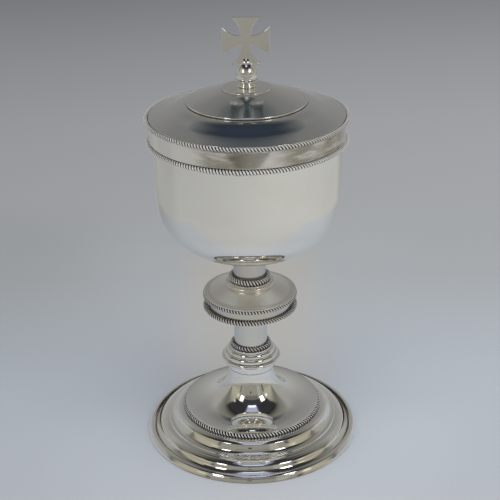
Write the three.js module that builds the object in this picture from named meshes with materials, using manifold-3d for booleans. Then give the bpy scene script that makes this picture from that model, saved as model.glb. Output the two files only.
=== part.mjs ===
// A lidded silver ciborium: a bowl on a knopped stem and a stepped trumpet foot, and a domed lid with a cross.
// Millimetres, +Z up, origin at the centre of the foot on the surface that it stands on.
// The cup hangs together on one tie rod, from a boss under the bowl to a nut inside the foot.
// The lid rests on the rope wire round the bowl and lifts straight off.
import * as THREE from "three";
import { mergeVertices } from "three/addons/utils/BufferGeometryUtils.js";
import Module from "manifold-3d";

const wasm = await Module();
wasm.setup();

// Clearances
const GAP = 0.3; // between curved neighbours and round a rod in its hole
const LID_PLAY = 0.35; // round the bowl, inside the lid's skirt
const LID_SEAT_GAP = 0.2; // between the skirt and the rope wire that it rests on

// Foot
const FOOT_RIM_RADIUS = 64.6;
const RIM_MOULDING_WIDTH = 3.8;
const RIM_MOULDING_HEIGHT = 4;
const RIM_MOULDING_BULGE = 0.9;
const RIM_STAND_INSET = 0.7; // the rim stands on a flat ring, this far inside its outline
const GROOVE_WIDTH = 1.2; // between the rim and the lower step
const GROOVE_HEIGHT = 2.2;
const FLANGE_LIFT = 0.6; // the spun foot stays clear of the table
const FOOT_WALL = 1.2;
const FOOT_HEIGHT = 42.3;
const FOOT_NECK_RADIUS = 13.4;
const LOWER_STEP_WIDTH = 8;
const LOWER_STEP_HEIGHT = 8.7;
const LOWER_STEP_BULGE = 1.7;
const STEP_FILLET = 0.5;
const UPPER_STEP_WIDTH = 7.3;
const UPPER_STEP_HEIGHT = 15;
const UPPER_STEP_BULGE = 0.65;
const UPPER_STEP_HOLLOW = 0.3;
const UPPER_STEP_TURN = 0.65; // share of its width at which the bulge gives way to the hollow
const ROPE_LEDGE_HEIGHT = 15.6;
const ROPE_LEDGE_WIDTH = 4.6;
const TRUMPET_LIP = 1; // the trumpet ends this far above the rope's ledge
const FOOT_ROPE_SIZE = 2.45;

// Stem
const TIE_ROD_RADIUS = 3;
const COLLAR_HEIGHT = 14.6;
const COLLAR_BAND_HEIGHT = 4.3;
const COLLAR_OVERHANG = 0.7; // past the neck of the foot
const COLLAR_RIM_WIDTH = 3.8;
const COLLAR_RIM_BULGE = 1;
const COLLAR_LOWER_BEAD_BULGE = 0.6;
const COLLAR_UPPER_BEAD_BULGE = 0.45;
const LOWER_TUBE_RADIUS = 10;
const LOWER_TUBE_LENGTH = 23.1;
const UPPER_TUBE_RADIUS = 10.6;
const UPPER_TUBE_LENGTH = 14.6;
const TUBE_WALL = 1;
const TUBE_LEDGE = 1; // inside each tube, on the collars and shells that it stands between
const STEM_ROPE_WIDTH = 1.8;
const STEM_ROPE_HEIGHT = 2.4;
const ROPE_LEDGE_MARGIN = 0.35; // of a collar's top, outside its rope wire

// Knop
const KNOP_RADIUS = 25.3;
const KNOP_SHELL_DEPTH = 3.4;
const KNOP_SHELL_BULGE = 0.8;
const KNOP_BAND_HEIGHT = 8.2;
const KNOP_WALL = 1.1;
const KNOP_RIM_THICKNESS = 0.8;
const KNOP_RIM_WIDTH = 2.6;
const KNOP_CROWN_STEP = 1.5;
const KNOP_CROWN_HEIGHT = 4.8;
const KNOP_CROWN_HOLLOW = 0.15;
const KNOP_ROPE_SIZE = 2.5;
const KNOP_LOWER_ROPE_DROP = 0.5; // past the lower end of the band
const KNOP_UPPER_ROPE_RISE = 1.1; // past the upper end of the band
const KNOP_COLLAR_HEIGHT = 3.7;
const KNOP_COLLAR_BEAD = 1.6; // past the collar's top
const KNOP_COLLAR_BULGE = 0.5;

// Bowl
const BOWL_RADIUS = 53.3;
const BOWL_WALL = 1;
const BOWL_STRAIGHT = 41.1;
const BOWL_SIDE_ARC = 35.4;
const BOWL_BASE_DROP = 6.3; // how far the bottom sags below the ends of the side arcs
const BOWL_ROPE_WIDTH = 3.25;
const BOWL_ROPE_HEIGHT = 2.8;
const BOWL_ROPE_DEPTH = 7.9; // top of the rope wire, below the lip
const BOSS_HEIGHT = 6;
const BOSS_SOCKET = 4;

// Lid
const LIP_CLEARANCE = 2.4; // above the bowl's lip, inside the lid
const SKIRT_WALL = 1.55;
const SKIRT_BEAD = 1;
const LID_WALL = 1;
const DOME_EDGE_THICKNESS = 2.1;
const DOME_RISE = 7.1;
const DOME_EDGE_SLOPE = 0.27;
const DOME_CROWN_SLOPE = 0.12;
const LID_ROPE_SIZE = 2.3;
const CENTRE_PLATE_RADIUS = 33.8;
const CENTRE_PLATE_EDGE = 1.2;
const CENTRE_PLATE_RISE = 6;
const CENTRE_PLATE_BULGE = 0.4; // of its edge
const CENTRE_PLATE_EDGE_SLOPE = 0.3;
const CENTRE_PLATE_CROWN_SLOPE = 0.24;
const FINIAL_PLATE_RADIUS = 13.9;
const FINIAL_PLATE_EDGE = 0.9;
const FINIAL_PLATE_RISE = 0.3;
const FINIAL_PLATE_BULGE = 0.2; // of its edge

// Finial
const FINIAL_BEAD_RADIUS = 5.4;
const FINIAL_BEAD_HEIGHT = 1.7;
const FINIAL_BEAD_BULGE = 0.7;
const FINIAL_NECK_HOLLOW = 0.25;
const FINIAL_RING_RADIUS = 6.55;
const FINIAL_RING_HEIGHT = 3.4; // underside of the ring, above the finial's plate
const FINIAL_RING_THICKNESS = 1;
const FINIAL_RING_BULGE = 0.4;
const FINIAL_BODY_RADIUS = 5.9;
const FINIAL_BODY_HEIGHT = 13.1; // top of the pear-shaped body, above the finial's plate
const FINIAL_BODY_BULGE = 1;
const FINIAL_FILLET = 0.3; // between its turned parts
const FINIAL_CAP_RADIUS = 3.2;
const FINIAL_CAP_HEIGHT = 3;
const FINIAL_CAP_BULGE = 1;
const CROSS_HEIGHT = 25.8;
const CROSS_WIDTH = 26.2;
const CROSS_THICKNESS = 2.8;
const CROSS_WAIST = 5.3;
const CROSS_UPRIGHT_END = 15.3;
const CROSS_ARM_END = 16.4;
const CROSS_SWELL = 1.12; // of the waist, where an arm starts to flare
const CROSS_FLARE = 0.68; // share of an arm's length along which its sides stay close
const CROSS_SINK = 0.4; // of the lower arm into the top of the finial's body
const TENON_WIDTH = 4.4;
const TENON_LENGTH = 2.4;
const STUD_RADIUS = 2;
const STUD_GRIP = 5; // length of the stud inside the finial

// Nuts and washers
const WASHER_THICKNESS = 1.2;
const ROD_WASHER_RADIUS = 9;
const ROD_NUT_FLATS = 10;
const ROD_NUT_HEIGHT = 5;
const STUD_WASHER_RADIUS = 5;
const STUD_NUT_FLATS = 7;
const STUD_NUT_HEIGHT = 3.2;
const THREAD_END = 1.6; // a rod shows this much past its nut

// Facets round the axis
const WIDE = 36;
const NARROW = 24;

// Radii that follow from the sizes above
const rimInnerRadius = FOOT_RIM_RADIUS - RIM_MOULDING_WIDTH;
const flangeRadius = rimInnerRadius - GAP;
const lowerStepOuter = flangeRadius - GROOVE_WIDTH;
const lowerStepInner = lowerStepOuter - LOWER_STEP_WIDTH;
const upperStepRadius = lowerStepInner - UPPER_STEP_WIDTH;
const trumpetRadius = upperStepRadius - ROPE_LEDGE_WIDTH;
const collarBandRadius = FOOT_NECK_RADIUS + COLLAR_OVERHANG;
const collarRimRadius = collarBandRadius + COLLAR_RIM_WIDTH;
const collarTopRadius = LOWER_TUBE_RADIUS + GAP + STEM_ROPE_WIDTH + ROPE_LEDGE_MARGIN;
const knopCollarTopRadius = UPPER_TUBE_RADIUS + GAP + STEM_ROPE_WIDTH + ROPE_LEDGE_MARGIN;
const knopCollarRadius = knopCollarTopRadius + KNOP_COLLAR_BEAD;
const knopCrownRadius = KNOP_RADIUS - KNOP_RIM_WIDTH;
const lowerBoreRadius = LOWER_TUBE_RADIUS - TUBE_WALL - TUBE_LEDGE;
const upperBoreRadius = UPPER_TUBE_RADIUS - TUBE_WALL - TUBE_LEDGE;
const skirtInnerRadius = BOWL_RADIUS + LID_PLAY;
const skirtRadius = skirtInnerRadius + SKIRT_WALL;
const rodHoleRadius = TIE_ROD_RADIUS + GAP;
const studHoleRadius = STUD_RADIUS + GAP;
const bowlSideCentre = BOWL_RADIUS - BOWL_SIDE_ARC;
const bowlBaseArc = BOWL_SIDE_ARC + BOWL_BASE_DROP / 2 + bowlSideCentre ** 2 / (2 * BOWL_BASE_DROP);

// Heights that follow, from the table up
const collarTop = FOOT_HEIGHT + COLLAR_HEIGHT;
const knopBase = collarTop + LOWER_TUBE_LENGTH;
const knopBandBase = knopBase + KNOP_SHELL_DEPTH;
const knopBandTop = knopBandBase + KNOP_BAND_HEIGHT;
const knopRimTop = knopBandTop + KNOP_RIM_THICKNESS;
const knopCrownTop = knopRimTop + KNOP_CROWN_HEIGHT;
const knopCollarTop = knopCrownTop + KNOP_COLLAR_HEIGHT;
const upperTubeTop = knopCollarTop + UPPER_TUBE_LENGTH;
const bowlSag = bowlBaseArc - Math.sqrt(bowlBaseArc ** 2 - (UPPER_TUBE_RADIUS - TUBE_WALL) ** 2);
const bowlBottom = upperTubeTop + GAP - bowlSag;
const bowlTurn = bowlBottom + BOWL_BASE_DROP + BOWL_SIDE_ARC;
const bowlLip = bowlTurn + BOWL_STRAIGHT;
const bossTop = bowlBottom - GAP;
const socketTop = bossTop - BOSS_HEIGHT + BOSS_SOCKET;
const bowlRopeTop = bowlLip - BOWL_ROPE_DEPTH;
const skirtBase = bowlRopeTop + LID_SEAT_GAP;
const skirtTop = bowlLip + LIP_CLEARANCE;
const domeEdgeTop = skirtTop + DOME_EDGE_THICKNESS;
const domeCrown = domeEdgeTop + DOME_RISE;
const centrePlateBase = domeCrown + GAP;
const centrePlateTop = centrePlateBase + CENTRE_PLATE_EDGE + CENTRE_PLATE_RISE;
const finialPlateTop = centrePlateTop + FINIAL_PLATE_EDGE + FINIAL_PLATE_RISE;
const crossBase = finialPlateTop + FINIAL_BODY_HEIGHT - CROSS_SINK;

// Materials
const finish = (color, roughness) => new THREE.MeshStandardMaterial({ color, roughness, metalness: 1 });
const silver = finish(0xe6e2d9, 0.08);
const tarnishedSilver = finish(0xb9b2a4, 0.2);
const brass = finish(0xc9a45c, 0.35);

const point = (r, z) => new THREE.Vector2(r, z);

// An arc from one point to the other that bows out by rise to the left of its chord (to the right if negative).
function bow(from, to, rise, steps) {
  const chord = to.clone().sub(from);
  const half = chord.length() / 2;
  const left = point(-chord.y, chord.x).normalize();
  const radius = (half ** 2 + rise ** 2) / (2 * rise);
  const centre = from.clone().lerp(to, 0.5).addScaledVector(left, rise - radius);
  const sweep = 4 * Math.atan(rise / half);
  const points = [];
  for (let i = 0; i <= steps; i++) points.push(from.clone().rotateAround(centre, (-sweep * i) / steps));
  return points;
}

// A quarter of a hollow: it leaves the first point along the axis and reaches the second square to it.
function hollow(from, to, steps) {
  const points = [];
  for (let i = 0; i <= steps; i++) {
    const turn = (Math.PI / 2) * (i / steps);
    const r = to.x + (from.x - to.x) * Math.cos(turn);
    const z = from.y + (to.y - from.y) * Math.sin(turn);
    points.push(point(r, z));
  }
  return points;
}

// An S-shaped rise with its own slope at each end.
function ogee(from, to, fromSlope, toSlope, steps) {
  const third = (from.x - to.x) / 3;
  const curve = new THREE.CubicBezierCurve(
    from,
    point(from.x - third, from.y + third * fromSlope),
    point(to.x + third, to.y - third * toSlope),
    to,
  );
  return curve.getPoints(steps);
}

const shifted = (points, dr, dz) => points.map((p) => point(p.x + dr, p.y + dz));

// A turned solid. Its outline runs from the axis to the axis or closes on itself, either way round.
function turned(outline, facets = WIDE) {
  const points = outline.filter((p, i) => i === 0 || p.distanceTo(outline[i - 1]) > 1e-4);
  const onAxis = points[0].x === 0 && points.at(-1).x === 0;
  if (!onAxis) points.push(points[0].clone());
  if (THREE.ShapeUtils.area(points) < 0) points.reverse();
  return new THREE.LatheGeometry(points, facets).rotateX(Math.PI / 2);
}

// A plain ring with a six-sided section, flat above and below: the body of a rope-twist wire.
function wireRing(innerRadius, width, base, height, facets = WIDE) {
  const section = [];
  for (let i = 0; i < 6; i++) {
    const turn = (Math.PI / 3) * i;
    const r = innerRadius + (width / 2) * (1 + Math.cos(turn));
    const z = base + (height / 2) * (1 + Math.sin(turn) / Math.sin(Math.PI / 3));
    section.push(point(r, z));
  }
  return turned(section, facets);
}

function tube(outerRadius, wall, base, top, facets = NARROW) {
  const innerRadius = outerRadius - wall;
  const outer = [point(outerRadius, base), point(outerRadius, top)];
  return turned([...outer, point(innerRadius, top), point(innerRadius, base)], facets);
}

const rod = (radius, base, top) =>
  turned([point(0, base), point(radius, base), point(radius, top), point(0, top)], 16);

const washer = (outerRadius, innerRadius, base) =>
  tube(outerRadius, outerRadius - innerRadius, base, base + WASHER_THICKNESS);

// A six-sided nut with its bore.
function hexNut(flats, height, innerRadius, base) {
  const outline = new THREE.Shape();
  for (let i = 0; i < 6; i++) {
    const turn = (Math.PI / 3) * i;
    const corner = flats / 2 / Math.cos(Math.PI / 6);
    outline[i ? "lineTo" : "moveTo"](corner * Math.cos(turn), corner * Math.sin(turn));
  }
  outline.closePath();
  outline.holes.push(new THREE.Path().absarc(0, 0, innerRadius, 0, 2 * Math.PI, true));
  const nut = new THREE.ExtrudeGeometry(outline, { depth: height, bevelEnabled: false, curveSegments: 8 });
  return nut.translate(0, 0, base);
}

// Joins and cuts work on solids.
function toSolid(geometry) {
  const bare = new THREE.BufferGeometry();
  bare.setAttribute("position", geometry.getAttribute("position"));
  bare.setIndex(geometry.index);
  const merged = mergeVertices(bare, 1e-3);
  return new wasm.Manifold(
    new wasm.Mesh({
      numProp: 3,
      vertProperties: merged.attributes.position.array,
      triVerts: new Uint32Array(merged.index.array),
    }),
  );
}

function toGeometry(solid) {
  const mesh = solid.getMesh();
  const geometry = new THREE.BufferGeometry();
  geometry.setAttribute("position", new THREE.BufferAttribute(mesh.vertProperties, mesh.numProp));
  geometry.setIndex(new THREE.BufferAttribute(mesh.triVerts, 1));
  geometry.computeVertexNormals();
  return geometry;
}

// The foot's outer outline from the neck to the groove, with a count of facets for each of its curves.
function footSkin(trumpetFacets, bulgeFacets, hollowFacets, stepFacets) {
  const neck = point(FOOT_NECK_RADIUS, FOOT_HEIGHT);
  const trumpetEnd = point(trumpetRadius, ROPE_LEDGE_HEIGHT + TRUMPET_LIP);
  const upperEdge = point(upperStepRadius, UPPER_STEP_HEIGHT);
  const upperEnd = point(lowerStepInner, LOWER_STEP_HEIGHT + STEP_FILLET);
  const upperTurn = upperEdge.clone().lerp(upperEnd, UPPER_STEP_TURN);
  const lowerEdge = point(lowerStepInner, LOWER_STEP_HEIGHT);
  const lowerEnd = point(lowerStepOuter, GROOVE_HEIGHT + STEP_FILLET);
  return [
    ...hollow(neck, trumpetEnd, trumpetFacets),
    point(trumpetRadius, ROPE_LEDGE_HEIGHT),
    point(upperStepRadius, ROPE_LEDGE_HEIGHT),
    ...bow(upperEdge, upperTurn, UPPER_STEP_BULGE, bulgeFacets),
    ...bow(upperTurn, upperEnd, -UPPER_STEP_HOLLOW, hollowFacets),
    ...bow(lowerEdge, lowerEnd, LOWER_STEP_BULGE, stepFacets),
    point(lowerStepOuter, GROOVE_HEIGHT),
  ];
}

// The spun foot: a trumpet, a ledge for its rope wire, two stepped mouldings and a flange inside the rim.
function foot() {
  const underside = shifted(footSkin(4, 2, 1, 3), -FOOT_WALL, -FOOT_WALL);
  underside[0].y = FOOT_HEIGHT - FOOT_WALL;
  return turned([
    point(rodHoleRadius, FOOT_HEIGHT),
    ...footSkin(7, 3, 2, 4),
    point(flangeRadius, GROOVE_HEIGHT),
    point(flangeRadius, FLANGE_LIFT),
    ...underside.reverse(),
    point(rodHoleRadius, FOOT_HEIGHT - FOOT_WALL),
  ]);
}

// The heavy moulded wire round the foot's edge, which the cup stands on.
function footRimMoulding() {
  const innerTop = point(rimInnerRadius, RIM_MOULDING_HEIGHT);
  const outerLow = point(FOOT_RIM_RADIUS, RIM_STAND_INSET);
  return turned([
    ...bow(innerTop, outerLow, RIM_MOULDING_BULGE, 4),
    point(FOOT_RIM_RADIUS - RIM_STAND_INSET, 0),
    point(rimInnerRadius, 0),
  ]);
}

// The bell-shaped collar between the foot and the stem: a plain band, a rim and two beads. Above the band each
// height is a share of the way to the collar's top.
function baseCollar() {
  const bandTop = FOOT_HEIGHT + COLLAR_BAND_HEIGHT;
  const at = (r, share) => point(r, bandTop + share * (collarTop - bandTop));
  const rim = collarRimRadius - COLLAR_RIM_BULGE;
  const lowerBead = rim - COLLAR_LOWER_BEAD_BULGE;
  const upperBead = (lowerBead + collarTopRadius) / 2;
  return turned(
    [
      point(collarBandRadius, FOOT_HEIGHT),
      ...hollow(at(collarBandRadius, 0), at(rim, 0.14), 2),
      ...bow(at(rim, 0.14), at(rim, 0.37), -COLLAR_RIM_BULGE, 4),
      at(lowerBead, 0.38),
      ...bow(at(lowerBead, 0.44), at(upperBead, 0.66), -COLLAR_LOWER_BEAD_BULGE, 3),
      ...bow(at(upperBead, 0.71), at(collarTopRadius, 0.9), -COLLAR_UPPER_BEAD_BULGE, 2),
      at(collarTopRadius, 1),
      at(lowerBoreRadius, 1),
      point(lowerBoreRadius, FOOT_HEIGHT),
    ],
    NARROW,
  );
}

// The dished shell that closes the knop from below.
function knopLowerShell() {
  const seat = point(LOWER_TUBE_RADIUS + GAP, knopBase);
  const rim = point(KNOP_RADIUS, knopBandBase - KNOP_RIM_THICKNESS);
  return turned([
    point(lowerBoreRadius, knopBase),
    ...bow(seat, rim, -KNOP_SHELL_BULGE, 4),
    point(KNOP_RADIUS, knopBandBase),
    point(KNOP_RADIUS - 2 * KNOP_WALL, knopBandBase),
    point(LOWER_TUBE_RADIUS, knopBase + KNOP_WALL),
    point(lowerBoreRadius, knopBase + KNOP_WALL),
  ]);
}

// The stepped, gently hollowed shell on top of the knop.
function knopUpperShell() {
  const crownEdge = point(knopCrownRadius, knopRimTop + KNOP_CROWN_STEP);
  const crownTop = point(knopCollarRadius, knopCrownTop);
  const underside = shifted([crownEdge, crownTop], -KNOP_WALL, -2 * KNOP_WALL);
  return turned([
    point(KNOP_RADIUS, knopBandTop),
    point(KNOP_RADIUS, knopRimTop),
    point(knopCrownRadius, knopRimTop),
    ...bow(crownEdge, crownTop, KNOP_CROWN_HOLLOW, 3),
    point(upperBoreRadius, knopCrownTop),
    point(upperBoreRadius, knopCrownTop - 2 * KNOP_WALL),
    ...underside.reverse(),
    point(knopCrownRadius - KNOP_WALL, knopBandTop),
  ]);
}

// The beaded collar that the upper stem tube stands on. Each height is a share of the collar's.
function knopCollar() {
  const at = (r, share) => point(r, knopCrownTop + share * KNOP_COLLAR_HEIGHT);
  const bead = knopCollarRadius - KNOP_COLLAR_BULGE;
  return turned(
    [
      at(bead, 0),
      ...bow(at(bead, 0.22), at(bead, 0.73), -KNOP_COLLAR_BULGE, 3),
      at(knopCollarTopRadius, 0.8),
      at(knopCollarTopRadius, 1),
      at(upperBoreRadius, 1),
      at(upperBoreRadius, 0),
    ],
    NARROW,
  );
}

// The bowl's outline at a distance inside its outer skin, from the axis up to the lip.
function bowlSkin(inset, steps) {
  const baseCentre = bowlBottom + bowlBaseArc;
  const meet = Math.atan2(baseCentre - bowlTurn, bowlSideCentre);
  const points = [point(0, bowlBottom + inset)];
  for (let i = 1; i <= steps; i++) {
    const turn = Math.PI / 2 + (meet - Math.PI / 2) * (i / steps);
    const reach = bowlBaseArc - inset;
    points.push(point(reach * Math.cos(turn), baseCentre - reach * Math.sin(turn)));
  }
  for (let i = 1; i <= steps; i++) {
    const turn = meet * (1 - i / steps);
    const reach = BOWL_SIDE_ARC - inset;
    points.push(point(bowlSideCentre + reach * Math.cos(turn), bowlTurn - reach * Math.sin(turn)));
  }
  points.push(point(BOWL_RADIUS - inset, bowlLip));
  return points;
}

const bowl = () => turned([...bowlSkin(0, 5), ...bowlSkin(BOWL_WALL, 5).reverse()]);

// The turned boss under the bowl, which centres the stem tube and holds the tie rod.
function bowlBoss() {
  const radius = UPPER_TUBE_RADIUS - TUBE_WALL - GAP;
  return turned(
    [
      point(0, bossTop),
      point(radius, bossTop),
      point(radius, bossTop - BOSS_HEIGHT),
      point(rodHoleRadius, bossTop - BOSS_HEIGHT),
      point(rodHoleRadius, socketTop),
      point(0, socketTop),
    ],
    NARROW,
  );
}

// The lid's skirt, which drops over the bowl's lip, with a bead under the rope wire.
function lidSkirt() {
  return turned([
    point(skirtRadius, skirtBase),
    point(skirtRadius, skirtTop - SKIRT_BEAD),
    point(skirtRadius + SKIRT_BEAD, skirtTop - SKIRT_BEAD / 2),
    point(skirtRadius + SKIRT_BEAD, skirtTop),
    point(skirtInnerRadius, skirtTop),
    point(skirtInnerRadius, skirtBase),
  ]);
}

// The spun dome of the lid, with a hole for the finial's stud.
function lidDome() {
  const edge = point(skirtRadius - GAP, domeEdgeTop);
  const shoulder = point(CENTRE_PLATE_RADIUS, domeCrown);
  const edgeInner = skirtInnerRadius - LID_WALL;
  const underside = shifted(ogee(edge, shoulder, DOME_EDGE_SLOPE, DOME_CROWN_SLOPE, 4), 0, -LID_WALL);
  underside[0].x = edgeInner;
  return turned([
    point(edge.x, skirtTop),
    ...ogee(edge, shoulder, DOME_EDGE_SLOPE, DOME_CROWN_SLOPE, 6),
    point(studHoleRadius, domeCrown),
    point(studHoleRadius, domeCrown - LID_WALL),
    ...underside.reverse(),
    point(edgeInner, skirtTop),
  ]);
}

// The raised plate in the middle of the dome: a rounded edge and a gentle rise to the finial.
function lidCentrePlate() {
  const edgeRadius = CENTRE_PLATE_RADIUS - CENTRE_PLATE_BULGE;
  const edgeTop = point(edgeRadius, centrePlateBase + CENTRE_PLATE_EDGE);
  const crown = point(FINIAL_PLATE_RADIUS - GAP, centrePlateTop);
  const underside = shifted([edgeTop, crown], 0, -LID_WALL);
  underside[0].x -= LID_WALL;
  return turned([
    ...bow(point(edgeRadius, centrePlateBase), edgeTop, -CENTRE_PLATE_BULGE, 2),
    ...ogee(edgeTop, crown, CENTRE_PLATE_EDGE_SLOPE, CENTRE_PLATE_CROWN_SLOPE, 4),
    point(studHoleRadius, centrePlateTop),
    point(studHoleRadius, centrePlateTop - LID_WALL),
    ...underside.reverse(),
    point(edgeRadius - LID_WALL, centrePlateBase),
  ]);
}

// The small disc under the finial.
function finialPlate() {
  const edgeRadius = FINIAL_PLATE_RADIUS - FINIAL_PLATE_BULGE;
  const edgeTop = point(edgeRadius, centrePlateTop + FINIAL_PLATE_EDGE);
  return turned([
    ...bow(point(edgeRadius, centrePlateTop), edgeTop, -FINIAL_PLATE_BULGE, 2),
    point(FINIAL_BEAD_RADIUS, finialPlateTop),
    point(studHoleRadius, finialPlateTop),
    point(studHoleRadius, centrePlateTop),
  ]);
}

// The turned baluster that carries the cross, bored for its stud and slotted for the cross's foot.
function finialBaluster() {
  const at = (r, height) => point(r, finialPlateTop + height);
  const bead = FINIAL_BEAD_RADIUS - FINIAL_BEAD_BULGE;
  const ring = FINIAL_RING_RADIUS - FINIAL_RING_BULGE;
  const ringTop = FINIAL_RING_HEIGHT + FINIAL_RING_THICKNESS;
  const bodyBase = ringTop + FINIAL_FILLET;
  const bodyTopRadius = FINIAL_CAP_RADIUS + FINIAL_FILLET;
  const bodyTop = FINIAL_BODY_HEIGHT - FINIAL_FILLET;
  const capTop = FINIAL_BODY_HEIGHT + FINIAL_CAP_HEIGHT;
  const capCurve = bow(at(FINIAL_CAP_RADIUS, FINIAL_BODY_HEIGHT), at(0, capTop), -FINIAL_CAP_BULGE, 4);
  capCurve.at(-1).x = 0;
  const stock = turned(
    [
      at(0, STUD_GRIP + GAP),
      at(studHoleRadius, STUD_GRIP + GAP),
      at(studHoleRadius, 0),
      ...bow(at(bead, 0), at(bead, FINIAL_BEAD_HEIGHT), -FINIAL_BEAD_BULGE, 4),
      ...bow(at(bead, FINIAL_BEAD_HEIGHT + FINIAL_FILLET), at(ring, FINIAL_RING_HEIGHT), FINIAL_NECK_HOLLOW, 2),
      ...bow(at(ring, FINIAL_RING_HEIGHT), at(ring, ringTop), -FINIAL_RING_BULGE, 3),
      ...bow(at(FINIAL_BODY_RADIUS, bodyBase), at(bodyTopRadius, bodyTop), -FINIAL_BODY_BULGE, 5),
      ...capCurve,
    ],
    NARROW,
  );
  const slotWidth = CROSS_THICKNESS + 2 * GAP;
  const clear = CROSS_HEIGHT; // taller and wider than the baluster's head
  const mortise = new THREE.BoxGeometry(TENON_WIDTH + 2 * GAP, slotWidth, clear);
  mortise.translate(0, 0, crossBase - TENON_LENGTH - GAP + clear / 2);
  const slot = new THREE.BoxGeometry(clear, slotWidth, clear).translate(0, 0, crossBase - GAP + clear / 2);
  return toGeometry(toSolid(stock).subtract(toSolid(mortise)).subtract(toSolid(slot)));
}

// The cross: four flared arms cut from plate, with a tenon below that drops into the finial.
function finialCross() {
  const waist = CROSS_WAIST / 2;
  const up = CROSS_HEIGHT / 2;
  const upHalf = CROSS_UPRIGHT_END / 2;
  const out = CROSS_WIDTH / 2;
  const outHalf = CROSS_ARM_END / 2;
  const tenon = TENON_WIDTH / 2;
  const near = waist * CROSS_SWELL;
  const outline = new THREE.Shape();
  outline.moveTo(-upHalf, up);
  for (const side of [-1, 1]) {
    // Down the left side, and back up the right one
    outline.quadraticCurveTo(side * near, -side * up * CROSS_FLARE, side * waist, -side * waist);
    outline.quadraticCurveTo(side * out * CROSS_FLARE, -side * near, side * out, -side * outHalf);
    outline.lineTo(side * out, side * outHalf);
    outline.quadraticCurveTo(side * out * CROSS_FLARE, side * near, side * waist, side * waist);
    outline.quadraticCurveTo(side * near, side * up * CROSS_FLARE, side * upHalf, side * up);
    if (side > 0) break;
    outline.lineTo(-tenon, -up);
    outline.lineTo(-tenon, -up - TENON_LENGTH);
    outline.lineTo(tenon, -up - TENON_LENGTH);
    outline.lineTo(tenon, -up);
    outline.lineTo(upHalf, -up);
  }
  return new THREE.ExtrudeGeometry(outline, { depth: CROSS_THICKNESS, bevelEnabled: false, curveSegments: 8 })
    .translate(0, 0, -CROSS_THICKNESS / 2)
    .rotateX(Math.PI / 2)
    .translate(0, 0, crossBase + CROSS_HEIGHT / 2);
}

const cup = new THREE.Group();
const lid = new THREE.Group();

function add(group, name, geometry, material) {
  const mesh = new THREE.Mesh(geometry, material);
  mesh.name = name;
  group.add(mesh);
}

// Foot and stem
const footRope = wireRing(trumpetRadius + GAP, FOOT_ROPE_SIZE, ROPE_LEDGE_HEIGHT, FOOT_ROPE_SIZE);
const stemRope = (radius, base) => wireRing(radius + GAP, STEM_ROPE_WIDTH, base, STEM_ROPE_HEIGHT, NARROW);

add(cup, "foot", foot(), silver);
add(cup, "foot_rim_moulding", footRimMoulding(), silver);
add(cup, "foot_rope_wire", footRope, tarnishedSilver);
add(cup, "base_collar", baseCollar(), silver);
add(cup, "lower_stem_rope_wire", stemRope(LOWER_TUBE_RADIUS, collarTop), tarnishedSilver);
add(cup, "lower_stem_tube", tube(LOWER_TUBE_RADIUS, TUBE_WALL, collarTop, knopBase), silver);
add(cup, "upper_stem_rope_wire", stemRope(UPPER_TUBE_RADIUS, knopCollarTop), tarnishedSilver);
add(cup, "upper_stem_tube", tube(UPPER_TUBE_RADIUS, TUBE_WALL, knopCollarTop, upperTubeTop), silver);

// Knop
const knopRope = (base) => wireRing(KNOP_RADIUS + GAP, KNOP_ROPE_SIZE, base, KNOP_ROPE_SIZE);
const lowerKnopRopeBase = knopBandBase - KNOP_LOWER_ROPE_DROP;
const upperKnopRopeBase = knopBandTop + KNOP_UPPER_ROPE_RISE - KNOP_ROPE_SIZE;

add(cup, "knop_lower_shell", knopLowerShell(), silver);
add(cup, "knop_band", tube(KNOP_RADIUS, KNOP_WALL, knopBandBase, knopBandTop, WIDE), silver);
add(cup, "knop_lower_rope_wire", knopRope(lowerKnopRopeBase), tarnishedSilver);
add(cup, "knop_upper_rope_wire", knopRope(upperKnopRopeBase), tarnishedSilver);
add(cup, "knop_upper_shell", knopUpperShell(), silver);
add(cup, "knop_collar", knopCollar(), silver);

// Bowl
const bowlRopeBase = bowlRopeTop - BOWL_ROPE_HEIGHT;
const bowlRope = wireRing(BOWL_RADIUS + GAP, BOWL_ROPE_WIDTH, bowlRopeBase, BOWL_ROPE_HEIGHT);

add(cup, "bowl", bowl(), silver);
add(cup, "bowl_rope_wire", bowlRope, tarnishedSilver);
add(cup, "bowl_boss", bowlBoss(), brass);

// The rod, washer and nut that pull the cup together
const rodWasherBase = FOOT_HEIGHT - FOOT_WALL - WASHER_THICKNESS;
const rodNutBase = rodWasherBase - ROD_NUT_HEIGHT;

add(cup, "tie_rod", rod(TIE_ROD_RADIUS, rodNutBase - THREAD_END, socketTop - GAP), brass);
add(cup, "tie_rod_washer", washer(ROD_WASHER_RADIUS, rodHoleRadius, rodWasherBase), brass);
add(cup, "tie_rod_nut", hexNut(ROD_NUT_FLATS, ROD_NUT_HEIGHT, rodHoleRadius, rodNutBase), brass);

// Lid
add(lid, "lid_skirt", lidSkirt(), silver);
add(lid, "lid_rope_wire", wireRing(skirtRadius, LID_ROPE_SIZE, skirtTop, LID_ROPE_SIZE), tarnishedSilver);
add(lid, "lid_dome", lidDome(), silver);
add(lid, "lid_centre_plate", lidCentrePlate(), silver);
add(lid, "finial_plate", finialPlate(), silver);
add(lid, "finial_baluster", finialBaluster(), silver);
add(lid, "finial_cross", finialCross(), silver);

// The stud, washer and nut that hold the finial and the plates to the dome
const studWasherBase = domeCrown - LID_WALL - WASHER_THICKNESS;
const studNutBase = studWasherBase - STUD_NUT_HEIGHT;

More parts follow.
